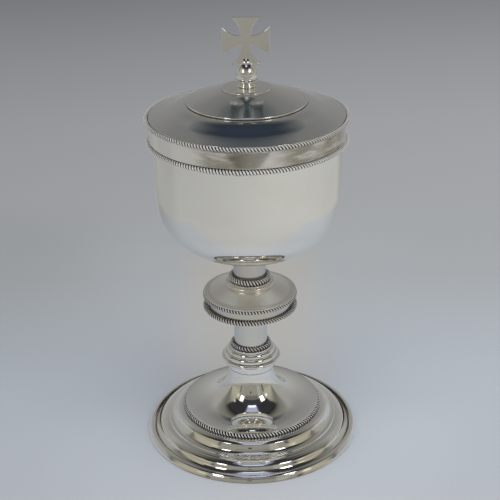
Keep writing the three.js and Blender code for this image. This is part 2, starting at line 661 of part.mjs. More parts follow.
add(lid, "finial_stud", rod(STUD_RADIUS, studNutBase - THREAD_END, finialPlateTop + STUD_GRIP), brass);
add(lid, "finial_washer", washer(STUD_WASHER_RADIUS, studHoleRadius, studWasherBase), brass);
add(lid, "finial_nut", hexNut(STUD_NUT_FLATS, STUD_NUT_HEIGHT, studHoleRadius, studNutBase), brass);

const ciborium = new THREE.Group();
ciborium.add(cup, lid);

export default ciborium;
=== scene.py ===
"""The looks of a lidded silver ciborium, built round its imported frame.

Outlines are in millimetres of radius and height, as in the part's source, and meshes in metres. Every turned
piece stands on the Z axis, so a piece takes its place from the box of the node that it replaces.
"""

from __future__ import annotations

import logging
import math
from collections.abc import Callable, Mapping, Sequence
from dataclasses import dataclass, field, replace
from enum import Enum
from typing import Union

import bpy
from mathutils import Matrix, Vector

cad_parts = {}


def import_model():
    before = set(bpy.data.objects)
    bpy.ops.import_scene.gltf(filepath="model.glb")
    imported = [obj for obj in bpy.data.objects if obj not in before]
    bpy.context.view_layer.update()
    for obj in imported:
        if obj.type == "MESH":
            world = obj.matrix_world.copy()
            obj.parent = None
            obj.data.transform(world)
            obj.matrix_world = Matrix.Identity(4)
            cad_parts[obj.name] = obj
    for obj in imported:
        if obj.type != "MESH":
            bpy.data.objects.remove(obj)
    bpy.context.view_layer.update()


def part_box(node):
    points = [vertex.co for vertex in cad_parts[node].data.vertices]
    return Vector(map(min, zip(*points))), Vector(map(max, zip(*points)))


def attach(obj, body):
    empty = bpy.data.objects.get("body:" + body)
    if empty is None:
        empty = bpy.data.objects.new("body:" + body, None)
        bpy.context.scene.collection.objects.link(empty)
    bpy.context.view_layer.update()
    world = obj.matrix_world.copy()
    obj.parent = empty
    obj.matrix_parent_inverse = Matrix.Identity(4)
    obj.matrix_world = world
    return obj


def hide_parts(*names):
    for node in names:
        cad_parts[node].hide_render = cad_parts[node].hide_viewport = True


log = logging.getLogger("ciborium")

MM = 0.001

# Facets round the axis
WIDE = 240
NARROW = 128

# A turned outline
SUPPORT = 0.08  # distance of the extra ring beside a bend, which keeps the flat next to it flat
SUPPORTED_LENGTH = 5 * SUPPORT  # length from which a line gets such rings
GENTLE_BEND = math.radians(6)  # bend up to which a curve's facets need no such ring
UNEVEN = 3  # how many times longer than the next line a line is to get one all the same
SOFTENED_STEPS = 5
STRAIGHT = 0.05  # bend, in radians, below which a corner isn't softened
SOFTENED_SHARE = 0.45  # share of a line that its softened corner may take
LEAST_SHARE = 0.3  # keeps a sharp corner from running away when an outline moves inwards
CREASE = math.radians(32)
SAME_PLACE = 1e-4
ON_AXIS = 1e-6

NUT_SIDES = 6


class Body(Enum):
    """The bodies of the frame."""

    CUP = "cup"
    LID = "lid"


class Slot(Enum):
    """The record's material slots."""

    SILVER = "silver"
    TARNISHED_SILVER = "tarnished_silver"
    BRASS = "brass"


# Node trees


class Wire:
    """An output socket of a node tree. Python's operators on it add Math nodes."""

    def __init__(self, graph: Graph, socket: bpy.types.NodeSocket) -> None:
        """Wraps a socket.

        Args:
            graph: The graph that the socket is in.
            socket: An output socket.
        """
        self.graph = graph
        self.socket = socket

    def __add__(self, other: Number) -> Wire:
        """Adds."""
        return self.graph.math("ADD", self, other)

    def __radd__(self, other: Number) -> Wire:
        """Adds, from the right."""
        return self.graph.math("ADD", other, self)

    def __sub__(self, other: Number) -> Wire:
        """Subtracts."""
        return self.graph.math("SUBTRACT", self, other)

    def __rsub__(self, other: Number) -> Wire:
        """Subtracts this from a number."""
        return self.graph.math("SUBTRACT", other, self)

    def __mul__(self, other: Number) -> Wire:
        """Multiplies."""
        return self.graph.math("MULTIPLY", self, other)

    def __rmul__(self, other: Number) -> Wire:
        """Multiplies, from the right."""
        return self.graph.math("MULTIPLY", other, self)

    def __truediv__(self, other: Number) -> Wire:
        """Divides."""
        return self.graph.math("DIVIDE", self, other)

    def __rtruediv__(self, other: Number) -> Wire:
        """Divides a number by this."""
        return self.graph.math("DIVIDE", other, self)

    def __abs__(self) -> Wire:
        """Drops the sign."""
        return self.graph.math("ABSOLUTE", self)

    def clamp(self) -> Wire:
        """Keeps the value from 0 to 1."""
        return self.graph.math("MULTIPLY", self, 1.0, clamp=True)

    def rise(self, low: float, high: float) -> Wire:
        """Goes smoothly from 0 to 1.

        Args:
            low: The value at which the result leaves 0.
            high: The value at which it reaches 1. Where it is less than low, the result falls instead.

        Returns:
            The smooth step.
        """
        start, end = (0.0, 1.0) if low < high else (1.0, 0.0)
        span = {"From Min": min(low, high), "From Max": max(low, high), "To Min": start, "To Max": end}
        settings = {"interpolation_type": "SMOOTHSTEP"}
        made = self.graph.node("ShaderNodeMapRange", settings, {"Value": self, **span})
        return self.graph.out(made, "Result")

    def between(self, low: float, high: float, edge: float) -> Wire:
        """Is 1 between two values and 0 outside them.

        Args:
            low: The lower value.
            high: The higher value.
            edge: How far its soft edge reaches to each side of a value.

        Returns:
            The band.
        """
        return self.rise(low - edge, low + edge) * self.rise(high + edge, high - edge)


Number = Union[Wire, float]
Feed = Union[Wire, bpy.types.NodeSocket, bpy.types.Material, float, int, bool, Sequence[float]]


class Graph:
    """A node tree that is built from the script."""

    def __init__(self, tree: bpy.types.NodeTree) -> None:
        """Starts with an empty tree.

        Args:
            tree: A shader or geometry node tree. Its nodes are removed.
        """
        self.tree = tree
        tree.nodes.clear()

    def node(
        self,
        kind: str,
        settings: Mapping[str, object] | None = None,
        inputs: Mapping[str | int, Feed] | None = None,
    ) -> bpy.types.Node:
        """Adds a node.

        Args:
            kind: The node's type.
            settings: Its settings, by name. "stops" holds a ramp's (place, colour) pairs.
            inputs: Values or wires for its sockets, by name or index.

        Returns:
            The node.
        """
        made = self.tree.nodes.new(kind)
        for name, value in (settings or {}).items():
            if name == "stops":
                self._fill_ramp(made, value)
            else:
                setattr(made, name, value)
        for key, value in (inputs or {}).items():
            self.feed(made.inputs[key], value)
        return made

    @staticmethod
    def _fill_ramp(node: bpy.types.Node, stops: Sequence[tuple[float, Sequence[float]]]) -> None:
        """Sets the stops of a colour ramp.

        Args:
            node: A Color Ramp node.
            stops: Its (place, colour) pairs.
        """
        elements = node.color_ramp.elements
        while len(elements) > 1:
            elements.remove(elements[-1])
        elements[0].position, elements[0].color = stops[0][0], (*stops[0][1], 1.0)
        for place, colour in stops[1:]:
            elements.new(place).color = (*colour, 1.0)

    def feed(self, socket: bpy.types.NodeSocket, value: Feed) -> None:
        """Links or sets an input socket.

        Args:
            socket: The input socket.
            value: A wire or socket to link, or a value to set.
        """
        if isinstance(value, Wire):
            self.tree.links.new(value.socket, socket)
        elif isinstance(value, bpy.types.NodeSocket):
            self.tree.links.new(value, socket)
        elif socket.type == "RGBA" and len(value) == 3:
            socket.default_value = (*value, 1.0)
        else:
            socket.default_value = value

    def out(self, node: bpy.types.Node, name: str | int = 0) -> Wire:
        """Wraps one output of a node."""
        return Wire(self, node.outputs[name])

    def math(self, operation: str, *values: Number, clamp: bool = False) -> Wire:
        """Adds a Math node.

        Args:
            operation: What it does.
            *values: Its inputs, in order.
            clamp: Whether its result is kept from 0 to 1.

        Returns:
            Its result.
        """
        settings = {"operation": operation, "use_clamp": clamp}
        return self.out(self.node("ShaderNodeMath", settings, dict(enumerate(values))))

    def vector(self, operation: str, *values: Feed, result: str = "Vector") -> Wire:
        """Adds a Vector Math node.

        Args:
            operation: What it does.
            *values: Its inputs, in order. A scale's factor is its fourth input.
            result: The output that is used.

        Returns:
            That output.
        """
        made = self.node("ShaderNodeVectorMath", {"operation": operation}, dict(enumerate(values)))
        return self.out(made, result)

    def scale(self, vector: Feed, factor: Number) -> Wire:
        """Scales a vector."""
        inputs = {0: vector, "Scale": factor}
        return self.out(self.node("ShaderNodeVectorMath", {"operation": "SCALE"}, inputs))

    def split(self, vector: Wire) -> tuple[Wire, Wire, Wire]:
        """Separates a vector into its three parts."""
        parts = self.node("ShaderNodeSeparateXYZ", inputs={0: vector})
        return self.out(parts, 0), self.out(parts, 1), self.out(parts, 2)

    def join(self, x: Number, y: Number, z: Number) -> Wire:
        """Combines three numbers into a vector."""
        return self.out(self.node("ShaderNodeCombineXYZ", inputs={0: x, 1: y, 2: z}))

    def blend(self, factor: Number, first: Feed, second: Feed) -> Wire:
        """Mixes two colours.

        Args:
            factor: The share of the second colour.
            first: The first colour.
            second: The second colour.

        Returns:
            The mixed colour.
        """
        settings = {"data_type": "RGBA"}
        made = self.node("ShaderNodeMix", settings, {"Factor": factor, 6: first, 7: second})
        return self.out(made, 2)

    def noise(self, vector: Feed, scale: float, detail: float = 2.0, roughness: float = 0.5) -> Wire:
        """Adds a noise texture.

        Args:
            vector: Where it is read.
            scale: How fine it is.
            detail: Its octaves.
            roughness: The weight of the finer octaves.

        Returns:
            Its value, around 0.5.
        """
        inputs = {"Vector": vector, "Scale": scale, "Detail": detail, "Roughness": roughness}
        return self.out(self.node("ShaderNodeTexNoise", inputs=inputs), "Fac")

    def place(self) -> Wire:
        """Reads Object coordinates."""
        return self.out(self.node("ShaderNodeTexCoord"), "Object")

    def ramp(self, place: Wire, stops: Sequence[tuple[float, Sequence[float]]]) -> Wire:
        """Reads a colour ramp.

        Args:
            place: Where it is read, from 0 to 1.
            stops: Its (place, colour) pairs.

        Returns:
            Its colour.
        """
        return self.out(self.node("ShaderNodeValToRGB", {"stops": stops}, {"Fac": place}), "Color")

    def hypotenuse(self, x: Wire, y: Wire) -> Wire:
        """Gives the distance that two distances at a right angle make."""
        return self.math("SQRT", x * x + y * y)

    def bump(self, distance: float, height: Wire, normal: Wire | None = None) -> Wire:
        """Adds a Bump node.

        Args:
            distance: How high its pattern stands, in metres.
            height: The pattern.
            normal: The normal that it starts from, if not the surface's own.

        Returns:
            The normal.
        """
        inputs = {"Distance": distance, "Height": height} | ({"Normal": normal} if normal else {})
        return self.out(self.node("ShaderNodeBump", inputs=inputs))

    def surface(self, inputs: Mapping[str, Feed]) -> None:
        """Ends a material in one Principled shader."""
        shader = self.node("ShaderNodeBsdfPrincipled", inputs=inputs)
        self.node("ShaderNodeOutputMaterial", inputs={"Surface": self.out(shader)})


def begin_material(name: str) -> tuple[bpy.types.Material, Graph]:
    """Starts a material.

    Args:
        name: The material's name.

    Returns:
        The material and the graph of its empty tree.
    """
    made = bpy.data.materials.new(name)
    made.use_nodes = True
    return made, Graph(made.node_tree)


# Finishes

TWIST_TARNISH_AND_SHADE = (0.045, 0.033, 0.024)  # tarnish left in the twist of a wire that is handled often, darkened further as painted crevice shade


@dataclass(frozen=True)
class Stain:
    """Tarnish that gathers in a ring, such as along a seam."""

    radius: float
    height: float
    reach: float
    amount: float = 1.0


@dataclass(frozen=True)
class Film:
    """A thin brown film over part of the way round, in degrees from +X, so the front is at -90."""

    middle: float
    spread: float
    amount: float
    colour: tuple[float, float, float] = (0.37, 0.33, 0.26)


@dataclass(frozen=True)
class Silver:
    """Mirror-polished silver that was turned or spun, with haze, hairlines and tarnish along its seams."""

    name: str
    tint: tuple[float, float, float] = (0.93, 0.915, 0.875)
    warm_tint: tuple[float, float, float] = (0.86, 0.82, 0.72)
    tarnish: tuple[float, float, float] = (0.09, 0.06, 0.038)
    roughness: float = 0.035
    haze: float = 0.045
    wave: float = 0.000012
    hairline: float = 0.0000012
    cloud_scale: float = 38.0
    speck_scale: float = 420.0
    turning_scale: float = 2600.0
    heave_scale: float = 30.0
    stains: tuple[Stain, ...] = ()
    films: tuple[Film, ...] = ()

    def material(self) -> bpy.types.Material:
        """Builds the material.

        Returns:
            The material, on Object coordinates.
        """
        made, graph = begin_material(self.name)
        place = graph.place()
        x, y, z = graph.split(place)
        radius = graph.hypotenuse(x, y)
        turn = graph.math("ARCTAN2", y, x)
        cloud = graph.noise(place, self.cloud_scale, 3.0, 0.55)
        speck = graph.noise(place, self.speck_scale, 3.0, 0.6)
        turned = graph.join(radius * self.turning_scale, turn * 2.2, z * self.turning_scale)
        lines = graph.noise(turned, 1.0, 2.0, 0.6)
        wiped = graph.join(x * 260.0 + z * 90.0, y * 3200.0, z * 2400.0 - x * 700.0)
        scratches = graph.noise(wiped, 1.0, 1.0)
        dirt = self._dirt(graph, radius, z, cloud, speck)
        clean = graph.blend(cloud.rise(0.46, 0.72) * 0.35, self.tint, self.warm_tint)
        streaks = graph.noise(graph.join(turn * 3.0, z * 260.0, 0.0), 1.0, 3.0, 0.6)
        for film in self.films:
            away = abs(turn - math.radians(film.middle)) + (streaks - 0.5) * 0.5
            spread = math.radians(film.spread)
            cover = away.rise(spread, spread * 0.3) * film.amount * streaks.rise(0.2, 0.6)
            clean = graph.blend(cover, clean, film.colour)
        hazy = self.haze * cloud.rise(0.35, 0.7) * speck.rise(0.3, 0.8)
        roughness = self.roughness + hazy + scratches.rise(0.66, 0.74) * 0.05 + dirt * 0.3
        fine = graph.bump(self.hairline, lines + scratches * 0.6)
        graph.surface(
            {
                "Base Color": graph.blend(dirt, clean, self.tarnish),
                "Metallic": 1 - dirt * 0.45,
                "Roughness": roughness.clamp(),
                "Normal": graph.bump(self.wave, graph.noise(place, self.heave_scale, 1.0, 0.4), fine),
            }
        )
        return made

    def _dirt(self, graph: Graph, radius: Wire, height: Wire, cloud: Wire, speck: Wire) -> Number:
        """Adds up the stains.

        Args:
            graph: The material's graph.
            radius: Distance from the axis, in metres.
            height: Height, in metres.
            cloud: Coarse noise that breaks the rings up.
            speck: Fine noise that frays their edges.

        Returns:
            How dirty the surface is, from 0 to 1.
        """
        dirt: Number = 0.0
        for stain in self.stains:
            across = radius - stain.radius * MM
            up = height - stain.height * MM
            away = graph.hypotenuse(across, up) / (stain.reach * MM)
            frayed = away + (speck - 0.5) * 0.7 + (cloud - 0.5) * 1.2
            dirt = dirt + frayed.rise(1.0, 0.25) * stain.amount
        return graph.math("MINIMUM", dirt, 1.0)


@dataclass(frozen=True)
class TwistedWire:
    """Twisted silver wire: bright where it is rubbed, dark in the twist with tarnish and painted crevice
    shade. It reads the attribute "crest".
    """

    name: str
    bright: tuple[float, float, float] = (0.96, 0.945, 0.91)
    worn: tuple[float, float, float] = (0.74, 0.68, 0.58)
    twist_tarnish_and_shade: tuple[float, float, float] = (0.013, 0.01, 0.008)
    clean_above: float = 0.955
    dark_below: float = 0.89
    patch_scale: float = 55.0
    speck_scale: float = 900.0
    pitting: float = 0.000006

    def material(self) -> bpy.types.Material:
        """Builds the material.

        Returns:
            The material, on Object coordinates and the wire's own attribute.
        """
        made, graph = begin_material(self.name)
        place = graph.place()
        crest = graph.out(graph.node("ShaderNodeAttribute", {"attribute_name": "crest"}), "Fac")
        patch = graph.noise(place, self.patch_scale, 3.0, 0.6)
        speck = graph.noise(place, self.speck_scale, 2.0, 0.6)
        # painted crevice shade with tarnish: the colour darkens towards the twist, by depth below the crest
        uneven = crest + (patch - 0.5) * 0.07 + (speck - 0.5) * 0.03
        clean = uneven.rise(self.dark_below, self.clean_above)
        rubbed = graph.blend(patch.rise(0.5, 0.75) * 0.4, self.bright, self.worn)
        roughness = 0.6 - clean * 0.35 + (speck - 0.5) * 0.1
        graph.surface(
            {
                "Base Color": graph.blend(clean, self.twist_tarnish_and_shade, rubbed),
                "Metallic": clean * 0.5,
                "Roughness": roughness.clamp(),
                "Normal": graph.bump(self.pitting, speck),
            }
        )
        return made


@dataclass(frozen=True)
class Gilding:
    """Thin fire gilding, softly brushed round the inside of a vessel."""

    name: str
    gold: tuple[float, float, float] = (0.94, 0.72, 0.36)
    pale: tuple[float, float, float] = (0.93, 0.82, 0.58)
    cloud_scale: float = 45.0
    brush_scale: float = 1800.0
    brush_depth: float = 0.000006

    def material(self) -> bpy.types.Material:
        """Builds the material.

        Returns:
            The material, on Object coordinates.
        """
        made, graph = begin_material(self.name)
        place = graph.place()
        x, y, z = graph.split(place)
        turn = graph.math("ARCTAN2", y, x)
        cloud = graph.noise(place, self.cloud_scale, 3.0, 0.55)
        brushed = graph.join(graph.hypotenuse(x, y) * self.brush_scale, turn * 3.0, z * self.brush_scale)
        lines = graph.noise(brushed, 1.0, 3.0, 0.6)
        worn = cloud.rise(0.5, 0.8) * 0.5 + lines.rise(0.55, 0.8) * 0.15
        graph.surface(
            {
                "Base Color": graph.blend(worn, self.gold, self.pale),
                "Metallic": 1.0,
                "Roughness": (0.18 + lines * 0.12 + cloud * 0.06).clamp(),
                "Normal": graph.bump(self.brush_depth, lines),
            }
        )
        return made


@dataclass(frozen=True)
class Brass:
    """Turned brass with tool marks, dulled by handling."""

    name: str
    bright: tuple[float, float, float] = (0.78, 0.6, 0.3)
    dull: tuple[float, float, float] = (0.42, 0.28, 0.13)
    cloud_scale: float = 260.0
    tool_scale: float = 5200.0
    tool_depth: float = 0.00001

    def material(self) -> bpy.types.Material:
        """Builds the material.

        Returns:
            The material, on Object coordinates.
        """
        made, graph = begin_material(self.name)
        place = graph.place()
        x, y, z = graph.split(place)
        dull = graph.noise(place, self.cloud_scale, 4.0, 0.6).rise(0.42, 0.7)
        turned = graph.join(graph.hypotenuse(x, y) * self.tool_scale, 0.0, z * self.tool_scale)
        tool = graph.noise(turned, 1.0, 1.0)
        graph.surface(
            {
                "Base Color": graph.blend(dull, self.bright, self.dull),
                "Metallic": 1.0,
                "Roughness": (0.26 + dull * 0.2 + tool * 0.08).clamp(),
                "Normal": graph.bump(self.tool_depth, tool),
            }
        )
        return made


# Outlines and meshes

Point = tuple[float, float]


@dataclass(frozen=True)
class Stroke:
    """One stroke of a moulding: where it ends, how far it bows out and how round its corner is."""

    reach: float
    height: float
    rise: float = 0.0
    soften: float = 0.0


class Outline:
    """The outline of a turned piece, drawn point by point as radius and height, in millimetres."""

    def __init__(self, radius: float, height: float, soften: float = 0.0) -> None:
        """Starts at a point.

        Args:
            radius: Distance from the axis.
            height: Height.
            soften: Radius that rounds the corner here.
        """
        self.corners = [(radius, height, soften)]

    def to(self, radius: float, height: float, soften: float = 0.0) -> Outline:
        """Draws a straight line to a point, whose corner may be softened."""
        self.corners.append((radius, height, soften))
        return self

    def bow(self, radius: float, height: float, rise: float, steps: int = 12) -> Outline:
        """Draws an arc.

        Args:
            radius: Radius of its end.
            height: Height of its end.
            rise: How far it bows out to the left of its chord, or to the right if negative.
            steps: Its number of facets.

        Returns:
            The outline.
        """
        start = Vector(self.corners[-1][:2])
        end = Vector((radius, height))
        chord = end - start
        half = chord.length / 2
        left = Vector((-chord.y, chord.x)).normalized()
        arc_radius = (half**2 + rise**2) / (2 * rise)
        centre = (start + end) / 2 + left * (rise - arc_radius)
        sweep = 4 * math.atan(rise / half)
        for i in range(1, steps + 1):
            place = centre + Matrix.Rotation(-sweep * i / steps, 2) @ (start - centre)
            self.corners.append((place.x, place.y, 0.0))
        return self

    def follow(self, start: float, strokes: Sequence[Stroke]) -> Outline:
        """Draws straight and bowed strokes.

        Args:
            start: The radius that their reaches count from.
            strokes: The strokes, in order.

        Returns:
            The outline.
        """
        for stroke in strokes:
            if stroke.rise:
                self.bow(start + stroke.reach, stroke.height, stroke.rise)
            else:
                self.to(start + stroke.reach, stroke.height, stroke.soften)
        return self

    def hollow(self, radius: float, height: float, steps: int = 32) -> Outline:
        """Draws a quarter of a hollow, which leaves along the axis and arrives square to it.

        Args:
            radius: Radius of its end.
            height: Height of its end.
            steps: Its number of facets.

        Returns:
            The outline.
        """
        start_radius, start_height, _ = self.corners[-1]
        for i in range(1, steps + 1):
            turn = math.pi / 2 * i / steps
            r = radius + (start_radius - radius) * math.cos(turn)
            z = start_height + (height - start_height) * math.sin(turn)
            self.corners.append((r, z, 0.0))
        return self

    def ogee(self, radius: float, height: float, slope: float, end_slope: float, steps: int = 20) -> Outline:
        """Draws an S-shaped rise.

        Args:
            radius: Radius of its end.
            height: Height of its end.
            slope: Its slope where it starts.
            end_slope: Its slope where it ends.
            steps: Its number of facets.

        Returns:
            The outline.
        """
        start_radius, start_height, _ = self.corners[-1]
        third = (start_radius - radius) / 3
        handle = (start_radius - third, start_height + third * slope)
        end_handle = (radius + third, height - third * end_slope)
        curve = ((start_radius, start_height), handle, end_handle, (radius, height))
        for i in range(1, steps + 1):
            t = i / steps
            weights = ((1 - t) ** 3, 3 * t * (1 - t) ** 2, 3 * t**2 * (1 - t), t**3)
            r = sum(w * p[0] for w, p in zip(weights, curve))
            z = sum(w * p[1] for w, p in zip(weights, curve))
            self.corners.append((r, z, 0.0))
        return self

    def points(self) -> list[Point]:
        """Rounds the corners and adds a support point beside each bend.

        Returns:
            The points, anticlockwise.
        """
        corners = self.corners[:1]
        corners += [c for before, c in zip(self.corners, self.corners[1:]) if _apart(c, before) > SAME_PLACE]
        closed = not self.on_axis()
        if closed and _apart(corners[0], corners[-1]) < SAME_PLACE:
            corners.pop()
        rounded: list[Point] = []
        count = len(corners)
        for i, (r, z, soften) in enumerate(corners):
            if soften > 0 and (closed or 0 < i < count - 1):
                rounded += _softened(corners[i - 1][:2], (r, z), corners[(i + 1) % count][:2], soften)
            else:
                rounded.append((r, z))
        supported = _supported(rounded, closed)
        return supported if _area(supported) > 0 else supported[::-1]

    def on_axis(self) -> bool:
        """Says whether the outline runs from the axis to the axis."""
        return self.corners[0][0] == 0 and self.corners[-1][0] == 0


def _apart(a: Sequence[float], b: Sequence[float]) -> float:
    """Gives the distance between two points."""
    return math.hypot(a[0] - b[0], a[1] - b[1])


def _area(points: Sequence[Point]) -> float:
    """Gives the area inside an outline, which is positive where it runs anticlockwise."""
    return sum(a[0] * b[1] - b[0] * a[1] for a, b in zip(points, [*points[1:], points[0]])) / 2


def _softened(before: Point, corner: Point, after: Point, radius: float) -> list[Point]:
    """Rounds a corner.

    Args:
        before: The point before it.
        corner: The corner.
        after: The point after it.
        radius: The radius of the rounding, which gives way to short neighbours.

    Returns:
        The points of the arc.
    """
    here = Vector(corner)
    back = Vector(before) - here
    on = Vector(after) - here
    angle = back.angle(on)
    if angle > math.pi - STRAIGHT:
        return [corner]
    longest = SOFTENED_SHARE * min(back.length, on.length)
    reach = min(radius / math.tan(angle / 2), longest)
    start = here + back.normalized() * reach
    end = here + on.normalized() * reach
    points = []
    for i in range(SOFTENED_STEPS + 1):
        t = i / SOFTENED_STEPS
        place = start * (1 - t) ** 2 + here * (2 * t * (1 - t)) + end * t**2
        points.append((place.x, place.y))
    return points


def _bends(start: Point, end: Point, following: Point) -> bool:
    """Says whether a line bends sharply at its end, or is much longer than the one that follows it.

    Args:
        start: The line's start.
        end: Its end.
        following: The end of the line that follows it.

    Returns:
        Whether it does.
    """
    line = Vector(end) - Vector(start)
    on = Vector(following) - Vector(end)
    return line.angle(on) > GENTLE_BEND or line.length > UNEVEN * on.length


def _supported(points: Sequence[Point], closed: bool) -> list[Point]:
    """Adds a point near the end of a long line where it bends, so that shading bends only beside its corners.

    Args:
        points: An outline.
        closed: Whether its last point joins its first.

    Returns:
        The outline with the added points.
    """
    count = len(points)
    made: list[Point] = []
    for i in range(count if closed else count - 1):
        a, b, following = points[i], points[(i + 1) % count], points[(i + 2) % count]
        share = SUPPORT / _apart(a, b)
        made.append(a)
        for place, bent in ((share, _bends(b, a, points[i - 1])), (1 - share, _bends(a, b, following))):
            if _apart(a, b) > SUPPORTED_LENGTH and bent:
                made.append((a[0] + (b[0] - a[0]) * place, a[1] + (b[1] - a[1]) * place))
    if not closed:
        made.append(points[-1])
    return made


def linked(name: str, data: bpy.types.ID) -> bpy.types.Object:
    """Makes an object of some data, such as a mesh, and links it to the scene.

    Args:
        name: The object's name.
        data: Its data.

    Returns:
        The object.
    """
    made = bpy.data.objects.new(name, data)
    bpy.context.scene.collection.objects.link(made)
    return made


def piece_of(
    name: str, vertices: Sequence[Sequence[float]], faces: Sequence[Sequence[int]]
) -> bpy.types.Object:
    """Makes a piece from vertices in millimetres.

    Args:
        name: The piece's name.
        vertices: Its vertices.
        faces: Its faces, as indices of vertices.

    Returns:
        The piece, smooth except along its creases.
    """
    mesh = bpy.data.meshes.new(name)
    mesh.from_pydata([[c * MM for c in v] for v in vertices], [], faces)
    return piece_from(name, mesh)


def piece_from(name: str, mesh: bpy.types.Mesh, crease: float = CREASE) -> bpy.types.Object:
    """Links a finished mesh as a piece.

    Args:
        name: The piece's name.
        mesh: Its mesh, in metres.
        crease: The angle from which an edge stays sharp.

    Returns:
        The piece, smooth except along its creases.
    """
    mesh.polygons.foreach_set("use_smooth", [True] * len(mesh.polygons))
    mesh.set_sharp_from_angle(angle=crease)
    return linked(name, mesh)


def bridge(first: int, second: int, count: int) -> list[tuple[int, ...]]:
    """Joins two closed rings of vertices with faces.

    Args:
        first: Index of the first ring's first vertex.
        second: Index of the second ring's first vertex.
        count: The number of vertices in each.

    Returns:
        The faces.
    """
    steps = [(i, (i + 1) % count) for i in range(count)]
    return [(first + i, first + j, second + j, second + i) for i, j in steps]


def turn(name: str, outline: Outline, facets: int) -> bpy.types.Object:
    """Turns an outline round the Z axis into a closed solid.

    Args:
        name: The piece's name.
        outline: Its outline, from the axis to the axis or closed on itself.
        facets: The number of facets round the axis.

    Returns:
        The piece.
    """
    points = outline.points()
    vertices: list[tuple[float, float, float]] = []
    rings: list[list[int]] = []
    for r, z in points:
        first = len(vertices)
        count = facets if r > ON_AXIS else 1
        for i in range(count):
            angle = 2 * math.pi * i / facets
            vertices.append((r * math.cos(angle), r * math.sin(angle), z))
        rings.append([first + i % count for i in range(facets)])
    following = rings[1:] if outline.on_axis() else [*rings[1:], rings[0]]
    faces = []
    for lower, upper in zip(rings, following):
        for i in range(facets):
            j = (i + 1) % facets
            corners = (lower[i], lower[j], upper[j], upper[i])
            face = tuple(dict.fromkeys(corners))
            if len(face) > 2:
                faces.append(face)
    return piece_of(name, vertices, faces)


def _inset(outline: Sequence[Point], distance: float) -> list[Point]:
    """Moves a closed outline inwards.

    Args:
        outline: Its points, clockwise.
        distance: How far it moves.

    Returns:
        The moved points.
    """
    moved = []
    count = len(outline)
    for i, corner in enumerate(outline):
        here = Vector(corner)
        back = (here - Vector(outline[i - 1])).normalized()
        on = (Vector(outline[(i + 1) % count]) - here).normalized()
        inwards = (Vector((back.y, -back.x)) + Vector((on.y, -on.x))).normalized()
        share = max(inwards.dot(Vector((on.y, -on.x))), LEAST_SHARE)
        place = here + inwards * distance / share
        moved.append((place.x, place.y))
    return moved


def loft(name: str, rings: Sequence[Sequence[Sequence[float]]]) -> bpy.types.Object:
    """Joins closed rings into a solid with a flat cap at each end.

    Args:
        name: The piece's name.
        rings: Rings of equally many points, clockwise as seen from the first cap.

    Returns:
        The piece.
    """
    count = len(rings[0])
    vertices = [place for ring in rings for place in ring]
    last = len(vertices) - count
    faces = [face for first in range(0, last, count) for face in bridge(first, first + count, count)]
    faces += [tuple(reversed(range(count))), tuple(range(last, len(vertices)))]
    return piece_of(name, vertices, faces)


@dataclass(frozen=True)
class Room:
    """The room that a node of the frame takes, in millimetres: its outer radius, its base and its top."""

    radius: float
    base: float
    top: float

    @classmethod
    def of(cls, node: str) -> Room:
        """Reads it from the frame."""
        low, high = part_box(node)
        return cls(high.x / MM, low.z / MM, high.z / MM)

    @property
    def height(self) -> float:
        """Gives the height of the node."""
        return self.top - self.base


# Geometry Nodes for the twisted wires


